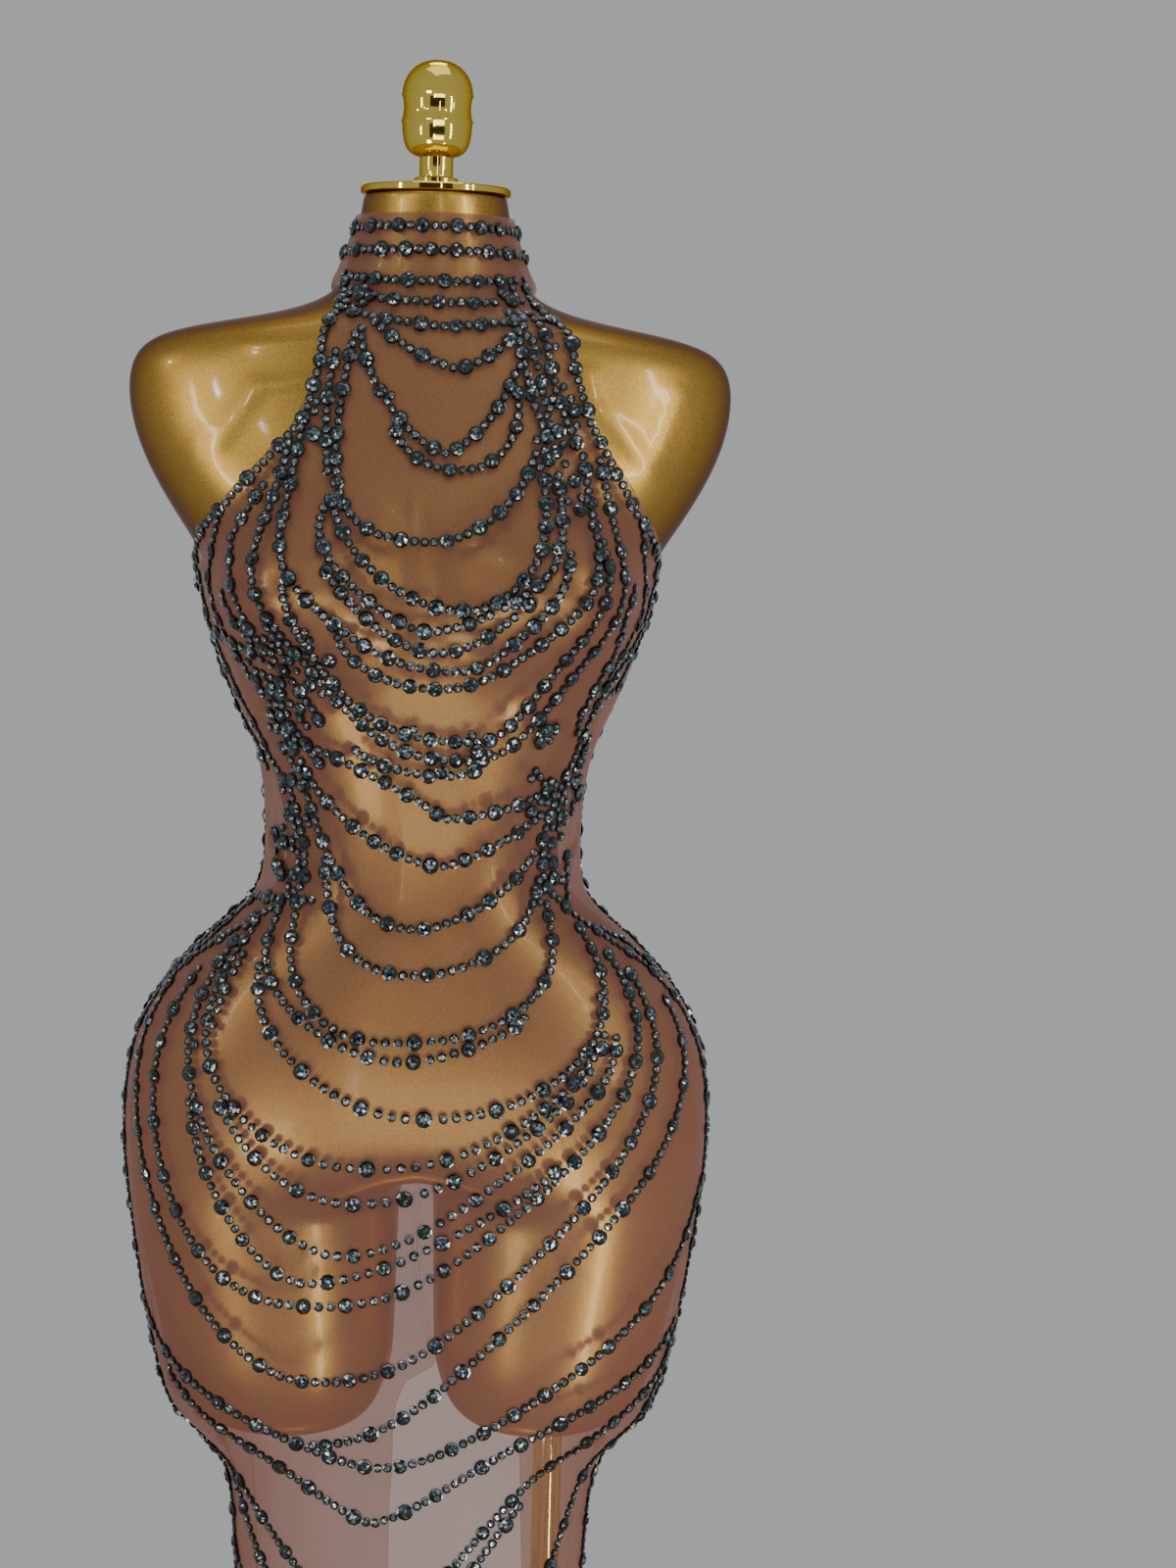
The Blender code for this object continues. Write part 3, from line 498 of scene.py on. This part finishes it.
# the map is in metres; real holes are 0.6 mm wide, drawn 1.8 mm so that they can be seen
netMap = addNode(tree, "ShaderNodeUVMap")
holes = addNode(tree, "ShaderNodeTexVoronoi", {"Scale": 550.0, "Randomness": 0.25},
                {"Vector": netMap.outputs["UV"]})
weave = addNode(tree, "ShaderNodeMapRange",
                {"From Min": 0.1, "From Max": 0.6, "To Min": 0.93, "To Max": 1.07},
                {"Value": holes.outputs["Distance"]})
thread = addNode(tree, "ShaderNodeMath", {"operation": "MULTIPLY"})
tree.links.new(density.outputs["Result"], thread.inputs[0])
tree.links.new(weave.outputs["Result"], thread.inputs[1])
tree.links.new(thread.outputs["Value"], shader.inputs["Alpha"])

# Cut glass with a foiled back in a blackened cup: dark rim, and steel blue to mauve facets whose
# colours are painted reflections of the room, a few of them white as painted glints.
cutGlass, tree, shader = newMaterial("foiled dark blue cut glass", Metallic=0.2, Roughness=0.12)
shader.inputs["Coat Weight"].default_value = 0.5
shader.inputs["Coat Roughness"].default_value = 0.03
cupToneAndGlintNode = addNode(tree, "ShaderNodeAttribute", {"attribute_name": "cupToneAndPaintedGlint"})
cupAndGlintRamp = addNode(tree, "ShaderNodeValToRGB", {}, {"Fac": cupToneAndGlintNode.outputs["Fac"]})
# near black for the cup, then painted reflections in blue and mauve, and white for painted glints
for place, code in ((0.0, "#030405"), (0.16, "#080d11"), (0.38, "#14232b"), (0.58, "#2b424d"),
                    (0.75, "#6a828d"), (0.80, "#5a5458"), (0.92, "#857c7f"), (1.0, "#eef4f6")):
    if place in (0.0, 1.0):
        stop = cupAndGlintRamp.color_ramp.elements[0 if place == 0.0 else -1]
        stop.position = place
    else:
        stop = cupAndGlintRamp.color_ramp.elements.new(place)
    stop.color = linear(code)
tree.links.new(cupAndGlintRamp.outputs["Color"], shader.inputs["Base Color"])
print("materials made")


def ridgeAt(across, height):
    total = 0
    for x1, z1, x2, z2, halfWidth, proud in form["ridges"]:
        wayX, wayZ = x2 - x1, z2 - z1
        along = ((across - x1) * wayX + (height - z1) * wayZ) / (wayX ** 2 + wayZ ** 2)
        along = min(max(along, 0), 1)
        away = math.hypot(across - x1 - along * wayX, height - z1 - along * wayZ) / halfWidth
        total = max(total, proud * math.exp(-away ** 2))
    return total


def buildForm():
    # half a body from neck to thigh end, a loft whose ring splits at the crotch, then mirrored
    half = form["stepsRound"] // 2
    mesh = bmesh.new()

    def ringOf(points):
        return [mesh.verts.new(Vector(p) * mm) for p in points]

    def band(upper, lower, closed=False):
        for k in range(len(upper) if closed else len(upper) - 1):
            n = (k + 1) % len(upper)
            mesh.faces.new((upper[k], upper[n], lower[n], lower[k]))

    hipPlace = int(np.where(levels == form["hipLevel"])[0][0])
    rings = []
    for place in np.arange(0, hipPlace + 0.25, 0.5):
        row = rowTable[0] if place == 0 else rowAt(place)
        points = []
        for j in range(half + 1):
            turn = math.pi * j / half
            radius = formRadius(turn, row)
            across = 0 if j in (0, half) else radius * math.sin(turn)
            points.append((across, -radius * math.cos(turn), row[0]))
        rings.append(ringOf(points))
    for upper, lower in zip(rings, rings[1:]):
        band(upper, lower)
    inner = [mesh.verts.new(Vector((v.co.x * 0.94, v.co.y * 0.94, v.co.z))) for v in rings[0]]
    band(inner, rings[0])
    top = mesh.verts.new((0, 0, inner[0].co.z))
    for a, b in zip(inner, inner[1:]):
        mesh.faces.new((top, b, a))

    innerSteps = 10
    front, back, level = rings[-1][0].co.y, rings[-1][-1].co.y, rings[-1][0].co.z / mm
    saddle = []
    for k in range(1, innerSteps + 1):
        share = k / (innerSteps + 1)
        sag = (level - form["crotch"]) * math.sin(math.pi * share)
        saddle.append(mesh.verts.new((0, back + (front - back) * share, (level - sag) * mm)))
    turns = [math.radians(-30 + 240 * j / half) for j in range(half + 1)]
    turns += [math.radians(210 + 120 * k / (innerSteps + 1)) for k in range(1, innerSteps + 1)]
    before = rings[-1] + saddle
    wide = form["thighOutside"]
    heights = [(h, 1.0) for h in (840, 821, 802, 782, 762, 740)] + form["endRounding"]
    for height, size in heights:
        row = linearRow(max(height, 718))
        outer = row[1]
        if height < 718:
            outer = wide[0] + (wide[1] - wide[0]) * (718 - height) / (718 - form["thighEnd"])
        gap = np.interp(-height, (-form["crotch"], -form["thighEnd"]), form["thighGap"])
        centre, reach = (outer + gap) / 2, (outer - gap) / 2 * size
        depth = size * form["thighDepth"]
        points = []
        for turn in turns:
            radius = ovalRadius(turn, reach, row[2] * depth, row[3] * depth, 2.05)
            points.append((centre + radius * math.sin(turn), -radius * math.cos(turn), height))
        ring = ringOf(points)
        band(before, ring, closed=True)
        before = ring
    end = mesh.verts.new((sum(v.co.x for v in before) / len(before), 0, form["thighEnd"] * mm))
    for k, vert in enumerate(before):
        mesh.faces.new((vert, before[(k + 1) % len(before)], end))
    bmesh.ops.recalc_face_normals(mesh, faces=mesh.faces)
    data = bpy.data.meshes.new("formTorso")
    mesh.to_mesh(data)
    mesh.free()
    torso = bpy.data.objects.new("formTorso", data)
    bpy.context.scene.collection.objects.link(torso)
    applyModifier(torso, "MIRROR", use_clip=True, merge_threshold=0.00005)
    applyModifier(torso, "SUBSURF", levels=form["smoothing"], render_levels=form["smoothing"])
    for vert in torso.data.vertices:
        if vert.co.y < 0 and 1.05 < vert.co.z < 1.45:
            vert.co.y -= ridgeAt(vert.co.x / mm, vert.co.z / mm) * mm
    torso.data.shade_smooth()
    return torso


torso = dress(buildForm(), goldPaint, "gold_paint", "torso")
print("form built,", len(torso.data.polygons), "faces")

fittings = {
    # turned profiles: radius and height above the foot
    "plate": [(49.6, 0), (51.5, 0.9), (51.5, 4.3), (50.4, 5.4), (0.5, 5.4)],
    "finial": [
        (15.0, 0.0), (15.0, 5.6), (14.2, 6.4), (11.7, 6.5), (11.5, 7.2), (11.5, 20.0), (12.4, 20.7),
        (15.2, 21.4), (17.9, 22.9), (20.1, 25.1), (21.8, 28.0), (22.8, 31.4), (23.6, 36.5), (24.1, 43.2),
        (24.7, 44.2), (24.4, 45.0), (23.5, 47.5), (22.9, 53.0), (23.5, 59.2), (24.4, 61.3),
        (24.7, 62.1), (24.3, 62.9),
        (23.9, 66.5), (22.8, 70.5), (21.2, 74.2), (18.8, 77.6), (15.8, 80.6), (12.4, 82.8),
        (8.8, 84.3), (5.2, 85.1), (1.2, 85.4),
    ],
    "pole": [(10.25, 0), (10.25, 653.6), (9.6, 654.3), (0.5, 654.3)],
    "base": [(220.8, 0), (222.0, 1.2), (222.0, 7.6), (220.6, 9.0), (12.0, 9.0)],
    "sides": 64,
}


def turned(name, profile, foot, across=0.0, sides=None):
    # a disc at the foot is drawn up ring by ring
    deselectAll()
    first = profile[0]
    bpy.ops.mesh.primitive_circle_add(
        vertices=sides or fittings["sides"], radius=first[0] * mm, fill_type="NGON",
        location=(across * mm, 0, (foot + first[1]) * mm))
    piece = bpy.context.object
    piece.name = piece.data.name = name
    bpy.ops.object.transform_apply(location=True, rotation=True, scale=True)
    bpy.ops.object.mode_set(mode="EDIT")
    bpy.ops.mesh.select_all(action="SELECT")
    for before, after in zip(profile, profile[1:]):
        bpy.ops.mesh.extrude_region_move(
            TRANSFORM_OT_translate={"value": (0, 0, (after[1] - before[1]) * mm)})
        size = after[0] / before[0]
        bpy.ops.transform.resize(value=(size, size, 1), center_override=(across * mm, 0, 0))
    bpy.ops.mesh.select_all(action="SELECT")
    bpy.ops.mesh.normals_make_consistent(inside=False)
    bpy.ops.object.mode_set(mode="OBJECT")
    bpy.ops.object.shade_smooth_by_angle(angle=math.radians(32))
    return piece


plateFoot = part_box("neck_plate")[0].z / mm
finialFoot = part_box("finial")[0].z / mm
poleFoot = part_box("pole")[0].z / mm
poleAcross = (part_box("pole")[0].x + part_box("pole")[1].x) / 2 / mm
dress(turned("neckDisc", fittings["plate"], plateFoot), polishedBrass, "polished_gold", "neck_plate")
dress(turned("formFinial", fittings["finial"], finialFoot), polishedBrass, "polished_gold", "finial")
dress(turned("formPole", fittings["pole"], poleFoot, poleAcross, 32), polishedBrass, "polished_gold", "pole")
dress(turned("standBase", fittings["base"], 0.0, 0.0, 96), polishedBrass, "polished_gold", "base")
print("fittings turned")


def seamAngle(height, gap=0.3):
    return math.degrees(gap / 2 / linearRow(height)[4])


def slitOpening(height):
    table = cloth["slit"]
    if height >= table[0][0]:
        return 0
    return float(np.interp(-height, [-h for h, a in table], [a for h, a in table]))


def frontRight(height):
    row = linearRow(height)
    return -row[8] + row[9] + seamAngle(height)


def frontLeft(height):
    row = linearRow(height)
    return row[8] + row[9] - seamAngle(height)


def backLeftOuter(height):
    row = linearRow(height)
    return 180 - row[8] + row[9] + seamAngle(height)


def backRightOuter(height):
    row = linearRow(height)
    return 180 + row[8] + row[9] - seamAngle(height)


def backLeftInner(height):
    return 180 + linearRow(height)[9] - slitOpening(height) - seamAngle(height, 0.6)


def backRightInner(height):
    return 180 + linearRow(height)[9] + slitOpening(height) + seamAngle(height, 0.6)


def buildPanel(name, rightEdge, leftEdge, columns):
    # a thin sheet of net between two edges
    heights = [h for h in fineHeights[::4] if cloth["hem"] < h < cloth["top"]]
    extra = np.arange(cloth["hem"], cloth["top"] + 1, 8.0)
    heights = np.array(sorted(set(np.round(heights, 1)) | set(extra), reverse=True))
    keep = [heights[0]]
    for height in heights[1:-1]:
        if keep[-1] - height > 2.4 and height - heights[-1] > 2.4:
            keep.append(height)
    heights = np.array(keep + [heights[-1]])
    right = np.array([rightEdge(h) for h in heights])
    left = np.array([leftEdge(h) for h in heights])
    shares = np.linspace(0, 1, columns + 1)
    angles = right[:, None] + (left - right)[:, None] * shares[None, :]
    points = clothPoints(angles, heights[:, None] + 0 * angles, cloth["middle"]).reshape(-1, 3)
    faces = []
    width = columns + 1
    for i in range(len(heights) - 1):
        for k in range(columns):
            a = i * width + k
            faces.append((a + width, a + width + 1, a + 1, a))
    piece = fromMesh(name, points, faces)
    # the net's own map: millimetres round and up, kept in metres
    around = np.radians(angles) * clothRadius(angles, heights[:, None] + 0 * angles)
    flat = np.stack([around, np.broadcast_to(heights[:, None], angles.shape)], -1).reshape(-1, 2) * mm
    layer = piece.data.uv_layers.new(name="net")
    corners = np.empty(len(piece.data.loops), int)
    piece.data.loops.foreach_get("vertex_index", corners)
    layer.data.foreach_set("uv", flat[corners].astype(np.float32).ravel())
    applyModifier(piece, "SOLIDIFY", thickness=0.0004, offset=1)
    return piece


clothFront = dress(buildPanel("clothFront", frontRight, frontLeft, 96), powerNet, "net", "front")
clothBackLeft = buildPanel("clothBackLeft", backLeftOuter, backLeftInner, 48)
clothBackRight = buildPanel("clothBackRight", backRightInner, backRightOuter, 48)
dress(clothBackLeft, powerNet, "net", "back_left")
dress(clothBackRight, powerNet, "net", "back_right")
print("net panels built,", len(clothFront.data.polygons), "faces in front")


def swagRoute(swag, steps=40):
    rightAngle, rightHeight, rightFull, lowAngle, lowHeight, leftFull, leftAngle, leftHeight = swag
    route = []
    sides = ((rightAngle, rightHeight, rightFull, range(steps, 0, -1)),
             (leftAngle, leftHeight, leftFull, range(steps + 1)))
    for endAngle, endHeight, full, counts in sides:
        for k in counts:
            turn = math.pi / 2 * k / steps
            angle = lowAngle + (endAngle - lowAngle) * math.sin(turn) ** (2 / full)
            height = lowHeight + (endHeight - lowHeight) * (1 - max(math.cos(turn), 0) ** (2 / full))
            route.append((angle, height))
    return route


def lineRoute(table, column, aside=0.0):
    # the stops of a table, moved aside by some millimetres
    route = []
    for above, below in zip(table, table[1:]):
        for k in range(8):
            share = k / 8
            height = above[0] + (below[0] - above[0]) * share
            angle = above[column] + (below[column] - above[column]) * share
            route.append((angle, height))
    route.append((table[-1][column], table[-1][0]))
    if aside:
        route = [(a + math.degrees(aside / float(clothRadius(a, h))), h) for a, h in route]
    return route


def stoneShape(sides, crown, table, rimTop, crownTop):
    # a cut stone in its cup, radius 1: points, faces and what each face is
    points, faces, kinds = [], [], []

    def ring(radius, height, offset=0.0):
        start = len(points)
        for k in range(sides):
            turn = math.tau * (k + offset) / sides
            points.append((radius * math.cos(turn), radius * math.sin(turn), height))
        return [start + k for k in range(sides)]

    foot, rim = ring(0.97, 0.0), ring(1.0, rimTop)
    girdle = ring(crown, rimTop + 0.05)
    tableRing = ring(table, crownTop, 0.5)
    points.append((0, 0, crownTop + 0.03))
    centre = len(points) - 1
    for k in range(sides):
        n = (k + 1) % sides
        faces.append((foot[k], foot[n], rim[n], rim[k]))
        kinds.append(0)
        faces.append((rim[k], rim[n], girdle[n], girdle[k]))
        kinds.append(1)
        faces.append((girdle[k], girdle[n], tableRing[k]))
        kinds.append(2)
        faces.append((girdle[n], tableRing[n], tableRing[k]))
        kinds.append(2)
        faces.append((tableRing[k], tableRing[n], centre))
        kinds.append(3)
    faces.append(tuple(reversed(foot)))
    kinds.append(0)
    return np.array(points), faces, kinds


bigStone = stoneShape(9, 0.78, 0.42, 0.34, 0.62)
smallStone = stoneShape(8, 0.70, 0.52, 0.46, 0.64)


def crowding(angle, height):
    share = 0.12
    for centre, level, halfWidth, halfHeight, most in stones["crowded"]:
        away = ((angle - centre) / halfWidth) ** 2 + ((height - level) / halfHeight) ** 2
        share = max(share, most * math.exp(-0.7 * away))
    return share


def placeStones(routes, seed, spread=None, edges=None, heaps=()):
    # walks each row and gives the place, radius, lift and size of every stone
    chance = random.Random(seed)
    taken, cell = {}, 0.012
    placed = []

    def nearby(point):
        key = tuple(int(math.floor(c / cell)) for c in point)
        for dx in (-1, 0, 1):
            for dy in (-1, 0, 1):
                for dz in (-1, 0, 1):
                    yield from taken.get((key[0] + dx, key[1] + dy, key[2] + dz), ())

    def keep(angle, height, radius, lift, big, point):
        placed.append((angle, height, radius, lift, big))
        key = tuple(int(math.floor(c / cell)) for c in point)
        taken.setdefault(key, []).append((point, radius))

    def tryStone(angle, height, big, lift, closest=0.84):
        radius = stones["big" if big else "small"] * chance.uniform(0.86, 1.04)
        if edges and not edges[0](height) + 2 < angle < edges[1](height) - 2:
            return
        point = clothPoints(angle, height, 1.0)
        free = [math.dist(point, other) / mm > closest * (radius + otherRadius)
                for other, otherRadius in nearby(point)]
        if all(free):
            keep(angle, height, radius, lift, big, point)

    for route in routes:
        stops = np.array(route, float)
        line = clothPoints(stops[:, 0], stops[:, 1], 1.0)
        run = np.concatenate([[0], np.cumsum(np.linalg.norm(np.diff(line, axis=0), axis=1))]) / mm
        smalls, gone, lastRadius = chance.choice((1, 2, 3)), 0.0, 0.0
        where = chance.uniform(0, 3)
        while where < run[-1]:
            big = smalls <= 0
            radius = (stones["big"] if big else stones["small"]) * chance.uniform(0.90, 1.06)
            angle = float(np.interp(where, run, stops[:, 0]))
            height = float(np.interp(where, run, stops[:, 1]))
            apart = spread(angle, height) if spread else 1.0
            if lastRadius:
                where += radius - stones["small"] if big else 0
                angle = float(np.interp(where, run, stops[:, 0]))
                height = float(np.interp(where, run, stops[:, 1]))
            point = clothPoints(angle, height, 1.0)
            close, lift = False, 0.0
            for other, otherRadius in nearby(point):
                away = math.dist(point, other) / mm
                if away < stones["tooNear"] * (radius + otherRadius):
                    close = True
                    break
                if away < stones["near"] * (radius + otherRadius):
                    lift = max(lift, stones["nearLift"])
            if close:
                where += 2.0
                continue
            keep(angle, height, radius, lift, big, point)
            if big:
                close = height > 1040 or crowding(angle, height) > 0.35
                smalls = chance.choice((1, 1, 2, 2, 3) if close else (2, 2, 3, 3, 4))
            else:
                smalls -= 1
            where += (radius + stones["small"]) * stones["step"] * apart
            lastRadius = radius
        # a second strand close beside the row where the rows gather
        side = chance.choice((-1, 1)) * chance.uniform(1.45, 1.75)
        where = chance.uniform(0, 4)
        while where < run[-1]:
            angle = float(np.interp(where, run, stops[:, 0]))
            height = float(np.interp(where, run, stops[:, 1]))
            big = chance.random() < 0.2
            size = stones["big" if big else "small"]
            if crowding(angle, height) > stones["secondStrand"]:
                ahead = line[min(np.searchsorted(run, where + 3), len(line) - 1)]
                ahead = ahead - line[max(np.searchsorted(run, where - 3) - 1, 0)]
                across = np.cross(ahead, clothNormals(np.array([angle]), np.array([height]))[0])
                across *= side * size / max(np.linalg.norm(across), 1e-9)
                turn = math.radians(angle)
                aside = across[0] * math.cos(turn) + across[1] * math.sin(turn)
                tryStone(angle + math.degrees(aside / float(clothRadius(angle, height))), height + across[2],
                         big, chance.uniform(0, 0.4))
            where += size + stones["small"]
    for angle, height, halfWidth, halfHeight, count in heaps:
        scale = math.degrees(1 / float(clothRadius(angle, height)))
        for _ in range(count):
            turn, reach = chance.uniform(0, math.tau), math.sqrt(chance.random())
            tryStone(angle + halfWidth * reach * math.cos(turn) * scale,
                     height + halfHeight * reach * math.sin(turn),
                     chance.random() < stones["heapBig"],
                     chance.uniform(*stones["heapLift"]), stones["heapNear"])
    return placed


def buildStones(name, placed, seed):
    chance = np.random.default_rng(seed)
    angles = np.array([p[0] for p in placed])
    heights = np.array([p[1] for p in placed])
    radii = np.array([p[2] for p in placed])
    lifts = np.array([p[3] for p in placed])
    centres = clothPoints(angles, heights, 1.0)
    normals = clothNormals(angles, heights)
    normals = normals + chance.normal(0, 0.07, normals.shape)
    normals /= np.linalg.norm(normals, axis=1, keepdims=True)
    helper = np.cross(normals, chance.normal(0, 1, normals.shape))
    helper /= np.linalg.norm(helper, axis=1, keepdims=True)
    other = np.cross(normals, helper)
    centres = centres + normals * (lifts[:, None] * mm)
    points, faces, cupTonesAndGlints = [], [], []
    count = 0
    for k, stop in enumerate(placed):
        shape, shapeFaces, kinds = bigStone if stop[4] else smallStone
        scale = radii[k] * mm
        turnedShape = shape[:, :1] * helper[k] + shape[:, 1:2] * other[k] + shape[:, 2:] * normals[k]
        points.append(centres[k] + turnedShape * scale)
        faces.extend(tuple(v + count for v in face) for face in shapeFaces)
        count += len(shape)
        # facet tones are painted reflections and a few white facets are painted glints; the cup and rim stay
        # near black
        glintBrightness = chance.uniform(0.75, 1.1)
        for kind in kinds:
            if kind == 0:
                cupTonesAndGlints.append(0.0)
            elif kind == 1:
                cupTonesAndGlints.append(chance.uniform(0.0, 0.08))
            elif chance.random() < 0.035:
                cupTonesAndGlints.append(1.0)
            elif stop[4]:
                cupTonesAndGlints.append(min(chance.beta(1.2, 2.0) * glintBrightness, 0.74))
            elif kind == 2:
                cupTonesAndGlints.append(chance.uniform(0.05, 0.40) * glintBrightness)
            else:
                cupTonesAndGlints.append(chance.uniform(0.48, 0.92))
    piece = fromMesh(name, np.vstack(points), faces, smooth=False)
    layer = piece.data.attributes.new("cupToneAndPaintedGlint", "FLOAT", "FACE")
    layer.data.foreach_set("value", np.array(cupTonesAndGlints, np.float32))
    return piece


def hipSpread(angle, height):
    # the net is stretched over hips and belly, so the stones stand apart in the middle
    middle = math.exp(-((angle + 8) / 40) ** 2)
    hips = math.exp(-((height - 860) / 130) ** 2)
    return 1.0 + 0.55 * middle * hips


frontRoutes = [lineRoute(stones["frontEdges"], 1), lineRoute(stones["frontEdges"], 2)]
frontRoutes += [lineRoute(stones["shoulderBand"], 1, aside) for aside in (-7, 0, 7)]
frontRoutes += [swagRoute(swag) for swag in stones["frontSwags"]] + stones["strands"]
placed = placeStones(frontRoutes, 4, hipSpread, (frontRight, frontLeft), stones["heaps"])
stonesFront = buildStones("stonesFront", placed, 11)
backRoutes = [lineRoute(stones["backEdges"], 1), lineRoute(stones["backEdges"], 2)]
backRoutes += [swagRoute(swag) for swag in stones["backSwags"]]
stonesBack = buildStones("stonesBack", placeStones(backRoutes, 5, hipSpread), 12)
dress(stonesFront, cutGlass, "stones", "front_stones")
dress(stonesBack, cutGlass, "stones", "back_stones")
for number, height in enumerate(stones["collarRings"]):
    ring = [(a, height) for a in np.arange(180, 539.0, 2.0)]
    name = ("stonesCollarUpper", "stonesCollarLower")[number]
    dress(buildStones(name, placeStones([ring], 20 + number), 30 + number), cutGlass, "stones",
          "collar_ring_%d" % (number + 1))
for piece in (stonesFront, stonesBack):
    print(piece.name, sum(len(face.vertices) - 2 for face in piece.data.polygons), "triangles")


def buildStage():
    deselectAll()
    bpy.ops.mesh.primitive_circle_add(vertices=128, radius=1.36, fill_type="NGON", location=(0, 0, 0))
    floor = bpy.context.object
    floor.name = "studioFloor"
    made, tree, shader = newMaterial("matte floor paint", Roughness=0.85)
    shader.inputs["Base Color"].default_value = linear("#857a70")
    floor.data.materials.append(made)
    # the dim side of the room behind the camera, seen in the gold
    bpy.ops.mesh.primitive_plane_add(size=1, location=(0, -3.8, 1.3), rotation=(math.radians(90), 0, 0))
    dimWall = bpy.context.object
    dimWall.name = "dimWall"
    dimWall.scale = (3.6, 2.4, 1)
    bpy.ops.object.transform_apply(location=True, rotation=True, scale=True)
    made, tree, shader = newMaterial("dark wall paint", Roughness=0.9)
    shader.inputs["Base Color"].default_value = linear("#443d38")
    dimWall.data.materials.append(made)
    dimWall.visible_camera = False
    world = bpy.data.worlds.new("studio")
    world.use_nodes = True
    bpy.context.scene.world = world
    background = world.node_tree.nodes["Background"]
    background.inputs["Color"].default_value = linear("#a9abaa")
    background.inputs["Strength"].default_value = 1.0


studio = [
    # name, place, aims at, width, height, watts
    ("room", (0.3, -3.0, 0.35), (0, 0, 0.75), 2.0, 0.7, 16),
    ("windowLeft", (-1.76, -1.22, 1.6), (0, 0, 1.1), 0.08, 1.0, 6),
    ("windowFar", (-0.33, -1.9, 0.85), (0, 0, 1.08), 0.06, 0.5, 1.2),
    ("tubeRight", (1.38, -1.25, 1.6), (0, 0, 1.1), 0.05, 1.5, 8),
    ("tubeMiddle", (0.35, -2.4, 2.0), (0, 0, 1.2), 0.03, 1.2, 2),
    ("lowPane", (0.66, -1.02, 0.24), (0.13, 0, 0.77), 0.14, 0.5, 6),
    ("lowLeft", (-0.9, -1.5, 0.3), (-0.1, 0, 0.75), 0.5, 0.5, 8),
    ("ceiling", (0.1, -0.2, 3.4), (0, 0, 1.2), 1.5, 1.5, 7),
    ("backHigh", (0, 1.0, 3.5), (0, 0, 0.9), 0.9, 0.5, 10),
    ("spotA", (-1.41, -1.40, 2.18), (0, 0, 1.3), 0.05, 0.05, 1),
    ("spotB", (-1.06, -1.59, 2.25), (0, 0, 1.3), 0.04, 0.04, 0.7),
    ("spotC", (-1.9, -0.6, 2.3), (0, 0, 1.3), 0.05, 0.05, 1.2),
    ("spotD", (0.91, -1.64, 2.34), (0, 0, 1.3), 0.04, 0.10, 0.9),
    ("spotE", (1.77, -1.12, 1.8), (0, 0, 1.3), 0.03, 0.6, 1.2),
]


def buildLights():
    for name, place, target, width, height, watts in studio:
        data = bpy.data.lights.new(name, "AREA")
        data.shape = "RECTANGLE"
        data.size, data.size_y, data.energy = width, height, watts
        lamp = bpy.data.objects.new(name, data)
        bpy.context.scene.collection.objects.link(lamp)
        lamp.location = place
        lamp.rotation_euler = (Vector(target) - Vector(place)).to_track_quat("-Z", "Y").to_euler()


def buildCamera():
    yaw, pitch, roll = (math.radians(camera[key]) for key in ("yaw", "pitch", "roll"))
    ahead = Vector((math.sin(yaw) * math.cos(pitch), math.cos(yaw) * math.cos(pitch), math.sin(pitch)))
    level = Vector((math.cos(yaw), -math.sin(yaw), 0))
    up = level.cross(ahead)
    right = level * math.cos(roll) + up * math.sin(roll)
    top = up * math.cos(roll) - level * math.sin(roll)
    data = bpy.data.cameras.new("photoAngle")
    data.lens, data.sensor_width = camera["lens"], 36
    seen = bpy.data.objects.new("photoAngle", data)
    bpy.context.scene.collection.objects.link(seen)
    standing = Matrix((right, top, -ahead)).transposed().to_4x4()
    standing.translation = camera["place"]
    seen.matrix_world = standing
    bpy.context.scene.camera = seen


buildStage()
buildLights()
buildCamera()
print("stage, lights and camera set")
